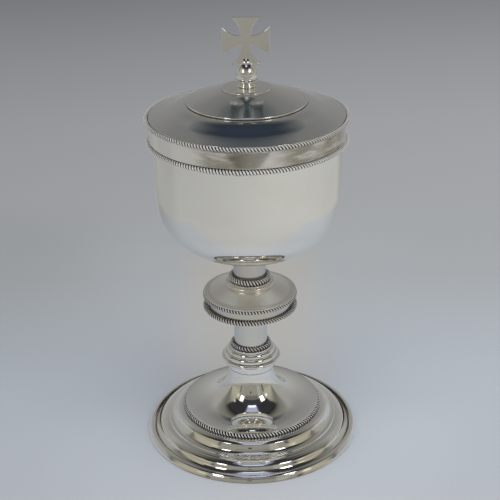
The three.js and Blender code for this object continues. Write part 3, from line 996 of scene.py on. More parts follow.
class RopeTree:
    """A node tree that twists strands round a ring and stores how near its outline each point lies."""

    INPUTS = (
        ("Ring radius", "NodeSocketFloat"),
        ("Ring height", "NodeSocketFloat"),
        ("Rope width", "NodeSocketFloat"),
        ("Rope height", "NodeSocketFloat"),
        ("Strand radius", "NodeSocketFloat"),
        ("Turns", "NodeSocketInt"),
        ("Strands", "NodeSocketInt"),
        ("Points per turn", "NodeSocketInt"),
        ("Sides", "NodeSocketInt"),
        ("Finish", "NodeSocketMaterial"),
    )

    def __init__(self) -> None:
        """Builds the tree."""
        self.tree = bpy.data.node_groups.new("Twisted wire ring", "GeometryNodeTree")
        face = self.tree.interface
        self.identifiers = {}
        for name, kind in self.INPUTS:
            self.identifiers[name] = face.new_socket(name, in_out="INPUT", socket_type=kind).identifier
        face.new_socket("Geometry", in_out="OUTPUT", socket_type="NodeSocketGeometry")
        graph = Graph(self.tree)
        given = graph.node("NodeGroupInput")
        size = {name: graph.out(given, name) for name, _ in self.INPUTS}
        strand = self._strands(graph, size)
        section = {"Resolution": size["Sides"], "Radius": size["Strand radius"]}
        sides = graph.node("GeometryNodeCurvePrimitiveCircle", {"mode": "RADIUS"}, section)
        inputs = {"Curve": strand, "Profile Curve": graph.out(sides, "Curve")}
        skin = graph.out(graph.node("GeometryNodeCurveToMesh", inputs=inputs))
        crest = self._crest(graph, size)
        settings = {"data_type": "FLOAT", "domain": "POINT"}
        inputs = {"Geometry": skin, "Name": "crest", "Value": crest}
        stored = graph.out(graph.node("GeometryNodeStoreNamedAttribute", settings, inputs))
        smooth = graph.out(graph.node("GeometryNodeSetShadeSmooth", inputs={0: stored}))
        real = graph.out(graph.node("GeometryNodeRealizeInstances", inputs={0: smooth}))
        inputs = {"Geometry": real, "Material": size["Finish"]}
        dressed = graph.out(graph.node("GeometryNodeSetMaterial", inputs=inputs))
        graph.node("NodeGroupOutput", inputs={"Geometry": dressed})

    @staticmethod
    def _strands(graph: Graph, size: Mapping[str, Wire]) -> Wire:
        """Winds the strands' centre lines round the ring.

        Args:
            graph: The tree's graph.
            size: The tree's inputs, by name.

        Returns:
            One closed curve for each strand.
        """
        ring = {"Resolution": size["Turns"] * size["Points per turn"], "Radius": size["Ring radius"]}
        circle = graph.out(graph.node("GeometryNodeCurvePrimitiveCircle", {"mode": "RADIUS"}, ring), "Curve")
        inputs = {"Geometry": circle, "Amount": size["Strands"]}
        copies = graph.node("GeometryNodeDuplicateElements", {"domain": "SPLINE"}, inputs)
        place = graph.out(graph.node("GeometryNodeInputPosition"))
        x, y, _ = graph.split(place)
        outwards = graph.vector("NORMALIZE", graph.join(x, y, 0.0))
        start = graph.out(copies, "Duplicate Index") / size["Strands"] * math.tau
        turn = start - graph.math("ARCTAN2", y, x) * size["Turns"]
        across = (size["Rope width"] / 2 - size["Strand radius"]) * graph.math("COSINE", turn)
        up = (size["Rope height"] / 2 - size["Strand radius"]) * graph.math("SINE", turn)
        lift = graph.join(0.0, 0.0, up + size["Ring height"])
        offset = graph.vector("ADD", graph.scale(outwards, across), lift)
        inputs = {"Geometry": graph.out(copies, "Geometry"), "Offset": offset}
        return graph.out(graph.node("GeometryNodeSetPosition", inputs=inputs))

    @staticmethod
    def _crest(graph: Graph, size: Mapping[str, Wire]) -> Wire:
        """Works out how near the rope's outline a point lies.

        Args:
            graph: The tree's graph.
            size: The tree's inputs, by name.

        Returns:
            1 on the outline, and less in the twist.
        """
        x, y, z = graph.split(graph.out(graph.node("GeometryNodeInputPosition")))
        across = (graph.hypotenuse(x, y) - size["Ring radius"]) / (size["Rope width"] / 2)
        up = (z - size["Ring height"]) / (size["Rope height"] / 2)
        return graph.hypotenuse(across, up)

    def ring(self, name: str, rope: Rope, room: Room, finish: bpy.types.Material) -> bpy.types.Object:
        """Winds one rope ring and turns it into a plain mesh.

        Args:
            name: The piece's name.
            rope: The rope's twist and width.
            room: The room of the node that it replaces.
            finish: Its material.

        Returns:
            The piece.
        """
        height = rope.height or room.height
        values = {
            "Ring radius": (room.radius - rope.width / 2) * MM,
            "Ring height": (room.base + height / 2) * MM,
            "Rope width": rope.width * MM,
            "Rope height": height * MM,
            "Strand radius": rope.strand * MM,
            "Turns": rope.lobes // rope.strands,
            "Strands": rope.strands,
            "Points per turn": rope.points_per_turn,
            "Sides": rope.sides,
            "Finish": finish,
        }
        holder = linked(name + "_tree", bpy.data.meshes.new(name + "_tree"))
        modifier = holder.modifiers.new("Twisted wire", "NODES")
        modifier.node_group = self.tree
        for key, value in values.items():
            modifier[self.identifiers[key]] = value
        graph = bpy.context.evaluated_depsgraph_get()
        mesh = bpy.data.meshes.new_from_object(holder.evaluated_get(graph))
        mesh.name = name
        bpy.data.objects.remove(holder)
        return piece_from(name, mesh, math.pi)


@dataclass(frozen=True)
class Rope:
    """A ring of twisted wire. The lobes are the bumps that are counted round it.

    Its height is its node's unless it has one of its own.
    """

    width: float
    lobes: int
    strand: float
    strands: int = 2
    height: float = 0.0
    points_per_turn: int = 12
    sides: int = 9


# Sub-assemblies


@dataclass
class SubAssembly:
    """Pieces that ride on one body."""

    body: Body = Body.CUP
    count: int = field(default=0, init=False)

    def dress(self, piece: bpy.types.Object, finish: bpy.types.Material, slot: Slot, node: str) -> None:
        """Gives a piece its finish and its place in the frame.

        Args:
            piece: The piece.
            finish: Its material.
            slot: The record's slot that the finish comes from; not used.
            node: The node that the piece replaces.
        """
        if not piece.data.materials:
            piece.data.materials.append(finish)
        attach(piece, self.body.value)
        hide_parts(node)
        self.count += 1
        log.info("%s: %d faces on %s", piece.name, len(piece.data.polygons), self.body.value)

    def wind(self, ropes: RopeTree, name: str, rope: Rope, finish: bpy.types.Material) -> None:
        """Winds a rope wire in the place of its node, which has the wire's name with "_wire" after it.

        Args:
            ropes: The tree that winds it.
            name: The wire's name.
            rope: Its twist and width.
            finish: Its material.
        """
        node = name + "_wire"
        self.dress(ropes.ring(name, rope, Room.of(node), finish), finish, Slot.TARNISHED_SILVER, node)


@dataclass
class Foot(SubAssembly):
    """The spun foot, its rim moulding and its rope wire."""

    wall: float = 1.2
    neck_radius: float = 13.4
    rod_hole: float = 3.3
    groove_width: float = 1.2
    groove_height: float = 2.2
    steps_width: float = 16.7
    steps: tuple[Stroke, ...] = (
        Stroke(3.6, 14.1, 0.34),
        Stroke(5.15, 11.2, -0.1),
        Stroke(7.3, 9.5, -0.31),
        Stroke(8.4, 9.25, 0.0, 0.2),
        Stroke(8.75, 8.45, 0.0, 0.25),
        Stroke(9.3, 8.3),
        Stroke(12.4, 7.15, 0.15),
        Stroke(14.35, 5.1, 0.32),
        Stroke(16.7, 2.7, -0.3),
    )
    ledge_height: float = 15.6
    ledge_width: float = 3.2
    ledge_round: float = 0.3
    lip_height: float = 2.85
    lip_thickness: float = 0.35
    lip_reach: float = 1.45
    lip_width: float = 2.35
    lip_rise: float = 0.35
    rim_width: float = 3.8
    rim: tuple[Stroke, ...] = (
        Stroke(1.2, 3.9, 0.14),
        Stroke(2.6, 2.8, 0.22),
        Stroke(3.8, 0.7, 0.1),
    )
    stand_inset: float = 0.7
    rope: Rope = Rope(width=2.5, lobes=140, strand=0.65)

    def build(self, ropes: RopeTree) -> None:
        """Builds the foot.

        Args:
            ropes: The tree that winds the rope wire.
        """
        foot = Room.of("foot")
        rim = Room.of("foot_rim_moulding")
        stains = (
            Stain(foot.radius - 0.2, self.groove_height - 0.1, 1.35, 0.95),
            Stain(Room.of("foot_rope_wire").radius - self.rope.width / 2, self.ledge_height, 1.9, 0.9),
        )
        silver = Silver("Foot silver", tarnish=(0.055, 0.036, 0.022), stains=stains).material()
        self.dress(turn("trumpet_foot", self.skin(foot), WIDE), silver, Slot.SILVER, "foot")
        self.dress(turn("rim_wire", self.rim_wire(rim), WIDE), silver, Slot.SILVER, "foot_rim_moulding")
        twisted = TwistedWire("Foot rope silver", clean_above=0.97, dark_below=0.91).material()
        self.wind(ropes, "foot_rope", self.rope, twisted)

    def skin(self, foot: Room) -> Outline:
        """Draws the spun foot, from its neck over the trumpet and the steps to its flange and back inside.

        Args:
            foot: The foot's room.

        Returns:
            Its outline.
        """
        outer = foot.radius - self.groove_width
        ledge = outer - self.steps_width
        trumpet = ledge - self.ledge_width
        line = Outline(self.neck_radius, foot.top, 0.2)
        lip_top = self.ledge_height + self.lip_height
        line.hollow(trumpet + self.lip_reach - self.lip_width, lip_top - self.lip_rise, 46)
        line.bow(trumpet + self.lip_reach, lip_top, -self.lip_rise / 4, 6)
        line.to(trumpet + self.lip_reach, lip_top - self.lip_thickness)
        line.to(trumpet, lip_top - self.lip_thickness)
        line.to(trumpet, self.ledge_height)
        line.to(ledge, self.ledge_height, self.ledge_round)
        line.follow(ledge, self.steps)
        line.to(outer, self.groove_height, 0.2)
        skin_corners = len(line.corners)
        line.to(foot.radius, self.groove_height, 0.15)
        line.to(foot.radius, foot.base, 0.2)
        kept = [(r, z) for r, z, _ in line.corners[:skin_corners] if r <= trumpet or z <= self.ledge_height]
        inside = [(r - self.wall, z - self.wall, 0.0) for r, z in kept]
        inside[0] = (self.neck_radius - self.wall, foot.top - self.wall, 0.0)
        line.corners += reversed(inside)
        line.to(self.rod_hole, foot.top - self.wall, 0.1)
        line.to(self.rod_hole, foot.top, 0.1)
        return line

    def rim_wire(self, rim: Room) -> Outline:
        """Draws the moulded wire that the cup stands on.

        Args:
            rim: Its room.

        Returns:
            Its outline.
        """
        inner = rim.radius - self.rim_width
        line = Outline(inner, rim.top - 0.2, 0.1).follow(inner, self.rim)
        return line.to(rim.radius - self.stand_inset, rim.base, 0.15).to(inner, rim.base, 0.1)


@dataclass
class Stem(SubAssembly):
    """The collar on the foot, the two tubes of the stem and their rope wires."""

    neck_radius: float = 13.4
    collar_overhang: float = 0.7
    band_height: float = 4.3
    collar_levels: tuple[float, ...] = (0.14, 0.37, 0.38, 0.44, 0.66, 0.71, 0.9)
    rim_width: float = 3.8
    rim_bulge: float = 1.0
    lower_bead_bulge: float = 0.6
    upper_bead_bulge: float = 0.45
    rope_ledge_margin: float = 0.35
    gap: float = 0.3
    tube_wall: float = 1.0
    tube_ledge: float = 1.0
    upper_inset: float = 1.0
    # darker copies of the silver's tint: painted shade on the tubes under the knop and under the bowl
    shaded_lower_finish: Silver = Silver("Lower tube shaded silver", (0.77, 0.75, 0.7), (0.7, 0.66, 0.58), roughness=0.12)
    shaded_upper_finish: Silver = Silver(
        "Upper tube shaded silver", (0.64, 0.62, 0.575), (0.57, 0.53, 0.46), roughness=0.14
    )
    lower_rope: Rope = Rope(width=2.05, lobes=38, strand=0.58)
    upper_rope: Rope = Rope(width=3.1, lobes=42, strand=0.72, height=3.2)

    def build(self, ropes: RopeTree) -> None:
        """Builds the stem.

        Args:
            ropes: The tree that winds the rope wires.
        """
        collar = Room.of("base_collar")
        lower = Room.of("lower_stem_tube")
        upper = Room.of("upper_stem_tube")
        seams = (
            Stain(lower.radius + 1.0, collar.top, 2.2, 0.9),
            Stain(self.neck_radius + self.collar_overhang, collar.base, 0.8, 0.7),
            Stain(upper.radius - self.upper_inset, upper.base + self.upper_rope.height + 0.6, 1.2, 0.7),
        )
        silver = Silver("Stem silver", stains=seams).material()
        piece = turn("stem_collar", self.collar(collar, lower), NARROW)
        self.dress(piece, silver, Slot.SILVER, "base_collar")
        tubes = (
            ("lower_stem_tube", lower, 0.0, self.shaded_lower_finish),
            ("upper_stem_tube", upper, self.upper_inset, self.shaded_upper_finish),
        )
        for name, room, inset, finish in tubes:
            piece = turn(name.replace("_tube", "_pipe"), self.tube(room, inset), NARROW)
            self.dress(piece, replace(finish, stains=seams).material(), Slot.SILVER, name)
        twisted = TwistedWire("Stem rope silver").material()
        for name, rope in (("lower_stem_rope", self.lower_rope), ("upper_stem_rope", self.upper_rope)):
            self.wind(ropes, name, rope, twisted)

    def collar(self, room: Room, tube: Room) -> Outline:
        """Draws the bell-shaped collar: a plain band, a rim and two beads.

        Args:
            room: The collar's room.
            tube: The room of the tube that stands on it.

        Returns:
            Its outline.
        """
        band = self.neck_radius + self.collar_overhang
        band_top = room.base + self.band_height
        levels = [band_top + share * (room.top - band_top) for share in self.collar_levels]
        rim = band + self.rim_width - self.rim_bulge
        lower_bead = rim - self.lower_bead_bulge
        top = tube.radius + self.gap + self.lower_rope.width + self.rope_ledge_margin
        upper_bead = (lower_bead + top) / 2
        bore = tube.radius - self.tube_wall - self.tube_ledge
        line = Outline(bore, room.base).to(band, room.base, 0.3).to(band, band_top)
        line.hollow(rim, levels[0], 10).bow(rim, levels[1], -self.rim_bulge, 16)
        line.to(lower_bead, levels[2]).to(lower_bead, levels[3])
        line.bow(upper_bead, levels[4], -self.lower_bead_bulge, 14).to(upper_bead, levels[5])
        line.bow(top, levels[6], -self.upper_bead_bulge, 12)
        return line.to(top, room.top, 0.25).to(bore, room.top)

    def tube(self, room: Room, inset: float) -> Outline:
        """Draws a plain tube.

        Args:
            room: The tube's room.
            inset: How far its skin lies inside that room.

        Returns:
            Its outline.
        """
        outer = room.radius - inset
        inner = outer - self.tube_wall
        line = Outline(outer, room.base).to(outer, room.top)
        return line.to(inner, room.top).to(inner, room.base)


@dataclass
class Knop(SubAssembly):
    """The knop: two shells, a band, two rope wires and the collar on top."""

    wall: float = 1.1
    shell_bulge: float = 0.8
    rim_thickness: float = 0.8
    flange_overhang: float = 2.1
    flange_thickness: float = 0.6
    flange_width: float = 1.6
    flange_step: float = 0.45
    crown_hollow: float = 0.15
    tube_radius: float = 10.0
    upper_tube_radius: float = 9.6
    tube_inset: float = 2.0
    gap: float = 0.3
    collar_bead: float = 1.6
    collar_bulge: float = 0.5
    collar_levels: tuple[float, float, float] = (0.22, 0.73, 0.8)
    rope: Rope = Rope(width=2.8, lobes=96, strand=0.66)
    crown_finish: Silver = Silver(
        "Knop crown silver",
        (0.93, 0.9, 0.83),
        (0.84, 0.79, 0.69),
        roughness=0.29,
        haze=0.04,
        wave=0.0,
        hairline=0.0,
    )
    # a darker copy of the silver's tint: painted shade on the drum under the crown's flange
    shaded_drum_finish: Silver = Silver("Knop drum shaded silver", (0.71, 0.685, 0.63), (0.62, 0.57, 0.49), roughness=0.08)
    bead_finish: Silver = Silver(
        "Knop bead silver", (0.86, 0.83, 0.76), (0.72, 0.66, 0.55), roughness=0.17, haze=0.1
    )

    def build(self, ropes: RopeTree) -> None:
        """Builds the knop.

        Args:
            ropes: The tree that winds the rope wires.
        """
        lower = Room.of("knop_lower_shell")
        band = Room.of("knop_band")
        upper = Room.of("knop_upper_shell")
        collar = Room.of("knop_collar")
        seams = (
            Stain(band.radius + 0.6, band.base - 0.3, 1.2, 0.55),
            Stain(band.radius + 0.3, band.top, 0.9, 0.6),
            Stain(collar.radius, collar.base, 0.7, 0.6),
            Stain(self.upper_tube_radius + 1.2, collar.top, 1.6, 0.9),
        )
        rope_top = Room.of("knop_upper_rope_wire").top
        flange = (Stain(upper.radius + 0.2, rope_top + 1.2, 2.4, 0.24),)
        crown = self.upper_shell(upper, collar, rope_top)
        pieces = (
            ("knop_underside", "knop_lower_shell", self.lower_shell(lower), Silver("Knop silver"), seams),
            ("knop_drum", "knop_band", self.band(band), self.shaded_drum_finish, seams),
            ("knop_crown", "knop_upper_shell", crown, self.crown_finish, flange),
            ("knop_bead", "knop_collar", self.collar(collar), self.bead_finish, seams),
        )
        for name, node, outline, finish, stains in pieces:
            made = replace(finish, stains=stains).material()
            self.dress(turn(name, outline, WIDE), made, Slot.SILVER, node)
        twisted = TwistedWire("Knop rope silver", clean_above=0.965, dark_below=0.9).material()
        for name in ("knop_lower_rope", "knop_upper_rope"):
            self.wind(ropes, name, self.rope, twisted)

    def lower_shell(self, room: Room) -> Outline:
        """Draws the dished shell that closes the knop from below.

        Args:
            room: The shell's room.

        Returns:
            Its outline.
        """
        bore = self.tube_radius - self.tube_inset
        line = Outline(bore, room.base).to(self.tube_radius + self.gap, room.base)
        line.bow(room.radius, room.top - self.rim_thickness, -self.shell_bulge, 16)
        line.to(room.radius, room.top, 0.1).to(room.radius - 2 * self.wall, room.top)
        return line.to(self.tube_radius, room.base + self.wall).to(bore, room.base + self.wall)

    def band(self, room: Room) -> Outline:
        """Draws the plain drum of the knop.

        Args:
            room: The drum's room.

        Returns:
            Its outline.
        """
        inner = room.radius - self.wall
        outer = Outline(room.radius, room.base, 0.15).to(room.radius, room.top, 0.15)
        return outer.to(inner, room.top).to(inner, room.base)

    def upper_shell(self, room: Room, collar: Room, rope_top: float) -> Outline:
        """Draws the gently hollowed shell on top of the knop, whose thin flange covers the upper rope wire.

        Args:
            room: Its own room.
            collar: The room of the collar on it.
            rope_top: Height of the rope wire's top.

        Returns:
            Its outline.
        """
        rim = room.radius + self.flange_overhang
        flange_top = rope_top + self.flange_thickness
        crown = rim - self.flange_width
        bore = self.upper_tube_radius - self.tube_inset
        line = Outline(room.radius - 2 * self.wall, room.base).to(room.radius, room.base)
        line.to(room.radius, rope_top).to(rim, rope_top, 0.2).to(rim, flange_top, 0.25)
        line.to(crown, flange_top + 0.1, 0.2).to(crown - 0.3, flange_top + self.flange_step, 0.3)
        line.bow(collar.radius, room.top, self.crown_hollow, 12)
        line.to(bore, room.top).to(bore, room.top - 2 * self.wall)
        return line.to(collar.radius - self.wall, room.top - 2 * self.wall)

    def collar(self, room: Room) -> Outline:
        """Draws the beaded collar that the upper stem tube stands on.

        Args:
            room: The collar's room.

        Returns:
            Its outline.
        """
        bead = room.radius - self.collar_bulge
        top = room.radius - self.collar_bead
        bore = self.upper_tube_radius - self.tube_inset
        bead_base, bead_top, step = (room.base + share * room.height for share in self.collar_levels)
        line = Outline(bore, room.base).to(bead, room.base).to(bead, bead_base)
        line.bow(bead, bead_top, -self.collar_bulge, 14).to(top, step)
        return line.to(top, room.top, 0.2).to(bore, room.top)


@dataclass
class Bowl(SubAssembly):
    """The bowl, gilt inside, its rope wire and the boss under it."""

    wall: float = 1.0
    straight: float = 39.4
    side_arc: float = 43.0
    side_turn: float = 29.0
    base_arc: float = 30.0
    base_turn: float = 67.0
    boss_radius: float = 8.3
    boss_socket: float = 4.0
    rod_hole: float = 3.3
    rope: Rope = Rope(width=3.5, lobes=200, strand=0.74)

    def build(self, ropes: RopeTree) -> None:
        """Builds the bowl.

        Args:
            ropes: The tree that winds the rope wire.
        """
        room = Room.of("bowl")
        wire_room = Room.of("bowl_rope_wire")
        seams = (
            Stain(room.radius + 0.4, wire_room.base, 1.3, 0.7),
            Stain(room.radius + 0.4, wire_room.top, 1.6, 0.7),
        )
        silver = Silver("Bowl silver", stains=seams).material()
        piece = turn("bowl_vessel", self.vessel(room), WIDE)
        piece.data.materials.append(silver)
        piece.data.materials.append(Gilding("Bowl gilding").material())
        self.gild(piece, (room.top - self.straight) * MM)
        self.dress(piece, silver, Slot.SILVER, "bowl")
        twisted = TwistedWire("Bowl rope silver", twist_tarnish_and_shade=TWIST_TARNISH_AND_SHADE, clean_above=0.93, dark_below=0.85).material()
        self.wind(ropes, "bowl_rope", self.rope, twisted)
        brass = Brass("Boss brass").material()
        self.dress(turn("rod_boss", self.boss(Room.of("bowl_boss")), NARROW), brass, Slot.BRASS, "bowl_boss")

    def skin(self, room: Room, inset: float, steps: int = 36) -> list[Point]:
        """Draws one skin of the bowl, from the axis up to the lip.

        Args:
            room: The bowl's room.
            inset: Distance inside its outer skin.
            steps: Facets of each of its two arcs.

        Returns:
            The points of the skin.
        """
        line = Outline(room.radius - inset, room.top).to(room.radius - inset, room.top - self.straight)
        radius, height, start = room.radius, room.top - self.straight, 0.0
        for arc, degrees in ((self.side_arc, self.side_turn), (self.base_arc, self.base_turn)):
            end = math.radians(degrees)
            middle = (radius - arc * math.cos(start), height + arc * math.sin(start))
            for i in range(1, steps + 1):
                angle = start + (end - start) * i / steps
                reach = arc - inset
                line.to(middle[0] + reach * math.cos(angle), middle[1] - reach * math.sin(angle))
            radius, height = middle[0] + arc * math.cos(end), middle[1] - arc * math.sin(end)
            start = end
        line.ogee(0.0, room.base + inset, -1 / math.tan(start), 0.0, steps)
        return [(r, z) for r, z, _ in reversed(line.corners)]

    def vessel(self, room: Room) -> Outline:
        """Draws the bowl with its wall.

        Args:
            room: The bowl's room.

        Returns:
            Its outline.
        """
        outer = self.skin(room, 0.0)
        inner = self.skin(room, self.wall)
        line = Outline(*outer[0])
        for r, z in outer[1:-1]:
            line.to(r, z)
        line.to(*outer[-1], 0.4).to(*inner[-1], 0.4)
        for r, z in reversed(inner[:-1]):
            line.to(r, z)
        return line

    @staticmethod
    def gild(piece: bpy.types.Object, centre_height: float) -> None:
        """Gives the faces that look inwards the second material.

        Args:
            piece: The bowl.
            centre_height: Height of the middle of the bowl, in metres.
        """
        centre = Vector((0.0, 0.0, centre_height))
        for face in piece.data.polygons:
            if face.normal.dot(face.center - centre) < 0:
                face.material_index = 1

    def boss(self, room: Room) -> Outline:
        """Draws the boss that centres the stem tube and holds the tie rod.

        Args:
            room: The boss's room.

        Returns:
            Its outline.
        """
        socket = room.base + self.boss_socket
        line = Outline(0.0, room.top).to(self.boss_radius, room.top, 0.2).to(self.boss_radius, room.base, 0.4)
        return line.to(self.rod_hole, room.base, 0.3).to(self.rod_hole, socket).to(0.0, socket)


@dataclass
class Lid(SubAssembly):
    """The lid: a skirt, a rope wire, a dome, a raised plate and a disc under the finial."""

    body: Body = Body.LID
    skirt_wall: float = 1.55
    skirt_bead: float = 1.0
    wall: float = 1.0
    edge_inset: float = 2.25
    edge_thickness: float = 2.1
    edge_slope: float = 0.27
    shoulder_width: float = 8.0
    shoulder_rise: float = 2.28
    shoulder_slope: float = 0.32
    crown_slope: float = 0.12
    stud_hole: float = 2.3
    plate_radius: float = 33.8
    plate_bulge: float = 0.4
    plate_edge: float = 1.2
    plate_edge_slope: float = 0.3
    plate_crown_slope: float = 0.24
    disc_bulge: float = 0.2
    disc_edge: float = 0.9
    bead_radius: float = 5.4
    gap: float = 0.3
    rope: Rope = Rope(width=2.3, lobes=198, strand=0.56)
    films: tuple[Film, ...] = (
        Film(-75.0, 60.0, 0.3),
        Film(-104.0, 19.0, 0.9),
        Film(-60.0, 19.0, 0.9),
        Film(-33.0, 22.0, 1.0),
    )

    def build(self, ropes: RopeTree) -> None:
        """Builds the lid.

        Args:
            ropes: The tree that winds the rope wire.
        """
        skirt = Room.of("lid_skirt")
        dome = Room.of("lid_dome")
        plate = Room.of("lid_centre_plate")
        disc = Room.of("finial_plate")
        seams = (
            Stain(skirt.radius - 0.6, skirt.top, 1.0, 0.6),
            Stain(plate.radius, plate.base, 0.7, 0.6),
            Stain(disc.radius, disc.base, 0.6, 0.5),
        )
        silver = Silver("Lid silver", stains=seams).material()
        filmed = Silver("Lid band silver", stains=seams, films=self.films).material()
        hazy = Silver("Lid plate silver", roughness=0.13, haze=0.09, stains=seams).material()
        pieces = (
            ("lid_band", self.skirt(skirt), "lid_skirt", filmed),
            ("lid_cap", self.dome(dome), "lid_dome", silver),
            ("lid_raised_plate", self.plate(plate, disc), "lid_centre_plate", hazy),
            ("finial_disc", self.disc(disc), "finial_plate", hazy),
        )
        for name, outline, node, finish in pieces:
            self.dress(turn(name, outline, WIDE), finish, Slot.SILVER, node)
        twisted = TwistedWire("Lid rope silver", twist_tarnish_and_shade=TWIST_TARNISH_AND_SHADE, clean_above=0.93, dark_below=0.84).material()
        self.wind(ropes, "lid_rope", self.rope, twisted)

    def skirt(self, room: Room) -> Outline:
        """Draws the band that drops over the bowl's lip, with a bead at its top.

        Args:
            room: The band's room.

        Returns:
            Its outline.
        """
        outer = room.radius - self.skirt_bead
        inner = outer - self.skirt_wall
        line = Outline(inner, room.base, 0.2).to(outer, room.base, 0.35)
        line.to(outer, room.top - self.skirt_bead)
        line.to(room.radius, room.top - self.skirt_bead / 2, 0.25).to(room.radius, room.top, 0.1)
        return line.to(inner, room.top)

    def dome(self, room: Room) -> Outline:
        """Draws the spun dome of the lid.

        Args:
            room: The dome's room.

        Returns:
            Its outline.
        """
        edge_top = room.base + self.edge_thickness
        line = Outline(room.radius, room.base).to(room.radius, edge_top, 0.25)
        shoulder = room.radius - self.shoulder_width
        line.ogee(shoulder, edge_top + self.shoulder_rise, self.edge_slope, self.shoulder_slope, 12)
        line.ogee(self.plate_radius, room.top, self.shoulder_slope, self.crown_slope, 28)
        skin = list(line.corners[1:])
        line.to(self.stud_hole, room.top).to(self.stud_hole, room.top - self.wall)
        edge_inner = room.radius - self.edge_inset
        inside = [(r, z - self.wall, 0.0) for r, z, _ in skin]
        inside[0] = (edge_inner, inside[0][1], 0.0)
        line.corners += reversed(inside)
        return line.to(edge_inner, room.base)

    def plate(self, room: Room, disc: Room) -> Outline:
        """Draws the raised plate in the middle of the dome.

        Args:
            room: Its own room.
            disc: The room of the disc on it.

        Returns:
            Its outline.
        """
        edge = room.radius - self.plate_bulge
        edge_top = room.base + self.plate_edge
        crown = disc.radius - self.gap
        line = Outline(edge, room.base).bow(edge, edge_top, -self.plate_bulge, 10)
        line.ogee(crown, room.top, self.plate_edge_slope, self.plate_crown_slope, 24)
        line.to(self.stud_hole, room.top).to(self.stud_hole, room.top - self.wall)
        line.to(crown, room.top - self.wall).to(edge - self.wall, edge_top - self.wall)
        return line.to(edge - self.wall, room.base)

    def disc(self, room: Room) -> Outline:
        """Draws the small disc under the finial.

        Args:
            room: The disc's room.

        Returns:
            Its outline.
        """
        edge = room.radius - self.disc_bulge
        line = Outline(self.stud_hole, room.base).to(edge, room.base)
        line.bow(edge, room.base + self.disc_edge, -self.disc_bulge, 8)
        return line.to(self.bead_radius, room.top).to(self.stud_hole, room.top)


@dataclass
class Finial(SubAssembly):
    """The turned baluster and the cross on it."""

    body: Body = Body.LID
    bead_radius: float = 5.4
    bead_height: float = 1.7
    bead_bulge: float = 0.7
    neck_hollow: float = 0.25
    ring_radius: float = 6.55
    ring_height: float = 3.4
    ring_thickness: float = 1.0
    ring_bulge: float = 0.4
    body_radius: float = 5.9
    body_height: float = 13.1
    body_bulge: float = 1.0
    fillet: float = 0.3
    cap_radius: float = 3.2
    cap_height: float = 3.0
    cap_bulge: float = 1.0
    cross_height: float = 25.8
    waist: float = 5.3
    upright_end: float = 15.3
    arm_end: float = 16.4
    swell: float = 1.12
    flare: float = 0.68
    edge_round: float = 0.3
    edge_support: float = 0.08
    edge_steps: int = 4
    cross_steps: int = 20

    def build(self) -> None:
        """Builds the baluster and the cross."""
        base = Room.of("finial_baluster").base
        silver = Silver("Finial silver", stains=(Stain(0.0, base + self.body_height, 3.4, 0.5),)).material()
        self.dress(turn("baluster", self.baluster(base), NARROW), silver, Slot.SILVER, "finial_baluster")
        self.dress(self.cross(), silver, Slot.SILVER, "finial_cross")

    def baluster(self, base: float) -> Outline:
        """Draws the bead, neck, ring, pear-shaped body and cap.

        Args:
            base: Height that it stands at.

        Returns:
            Its outline.
        """
        bead = self.bead_radius - self.bead_bulge
        ring = self.ring_radius - self.ring_bulge
        ring_base = base + self.ring_height
        ring_top = ring_base + self.ring_thickness
        body_top = base + self.body_height
        line = Outline(0.0, base).to(bead, base)
        line.bow(bead, base + self.bead_height, -self.bead_bulge, 16)
        line.to(bead, base + self.bead_height + self.fillet)
        line.bow(ring, ring_base, self.neck_hollow, 8)
        line.bow(ring, ring_top, -self.ring_bulge, 12)
        line.to(self.body_radius, ring_top + self.fillet)
        line.bow(self.cap_radius + self.fillet, body_top - self.fillet, -self.body_bulge, 28)
        line.to(self.cap_radius, body_top)
        line.bow(0.0, body_top + self.cap_height, -self.cap_bulge, 18)
        line.corners[-1] = (0.0, body_top + self.cap_height, 0.0)
        return line

    def cross(self) -> bpy.types.Object:
        """Cuts the cross from plate, with four flared arms and rounded edges.

        Returns:
            The piece.
        """
        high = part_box("finial_cross")[1]
        middle = high.z / MM - self.cross_height / 2
        half = high.y / MM
        outline = self.quarter(high.x / MM)
        rings = []
        for side in (-1, 1):
            levels = [(self.edge_round + self.edge_support, half), (self.edge_round, half)]
            for i in range(1, self.edge_steps + 1):
                angle = math.pi / 2 * i / self.edge_steps
                inset = self.edge_round * (1 - math.sin(angle))
                levels.append((inset, half - self.edge_round * (1 - math.cos(angle))))
            levels.append((0.0, half - self.edge_round - self.edge_support))
            for inset, depth in levels[::-side]:
                rings.append([(x, side * depth, middle + z) for x, z in _inset(outline, inset)])
        return loft("cross_plate", rings)

    def quarter(self, out: float) -> list[Point]:
        """Draws the cross's outline.

        Args:
            out: Reach of its side arms.

        Returns:
            The points, in order round the cross.
        """
        up = self.cross_height / 2
        near = self.waist / 2 * self.swell
        waist = self.waist / 2
        points: list[Point] = []
        top = ((self.upright_end / 2, up), (near, up * self.flare), (waist, waist))
        side = ((waist, waist), (out * self.flare, near), (out, self.arm_end / 2))
        quarter = [*self._curve(*top), *self._curve(*side)[1:]]
        for sx, sz, order in ((1, 1, 1), (1, -1, -1), (-1, -1, 1), (-1, 1, -1)):
            points += [(sx * x, sz * z) for x, z in quarter[::order]]
        return points

    def _curve(self, start: Point, handle: Point, end: Point) -> list[Point]:
        """Gives the points of a quadratic curve.

        Args:
            start: Its first point.
            handle: The point that it bends towards.
            end: Its last point.

        Returns:
            Its points, evenly spread.
        """
        points = []
        for i in range(self.cross_steps + 1):
            t = i / self.cross_steps
            weights = ((1 - t) ** 2, 2 * t * (1 - t), t**2)
            x, z = (sum(w * p[k] for w, p in zip(weights, (start, handle, end))) for k in (0, 1))
            points.append((x, z))
        return points


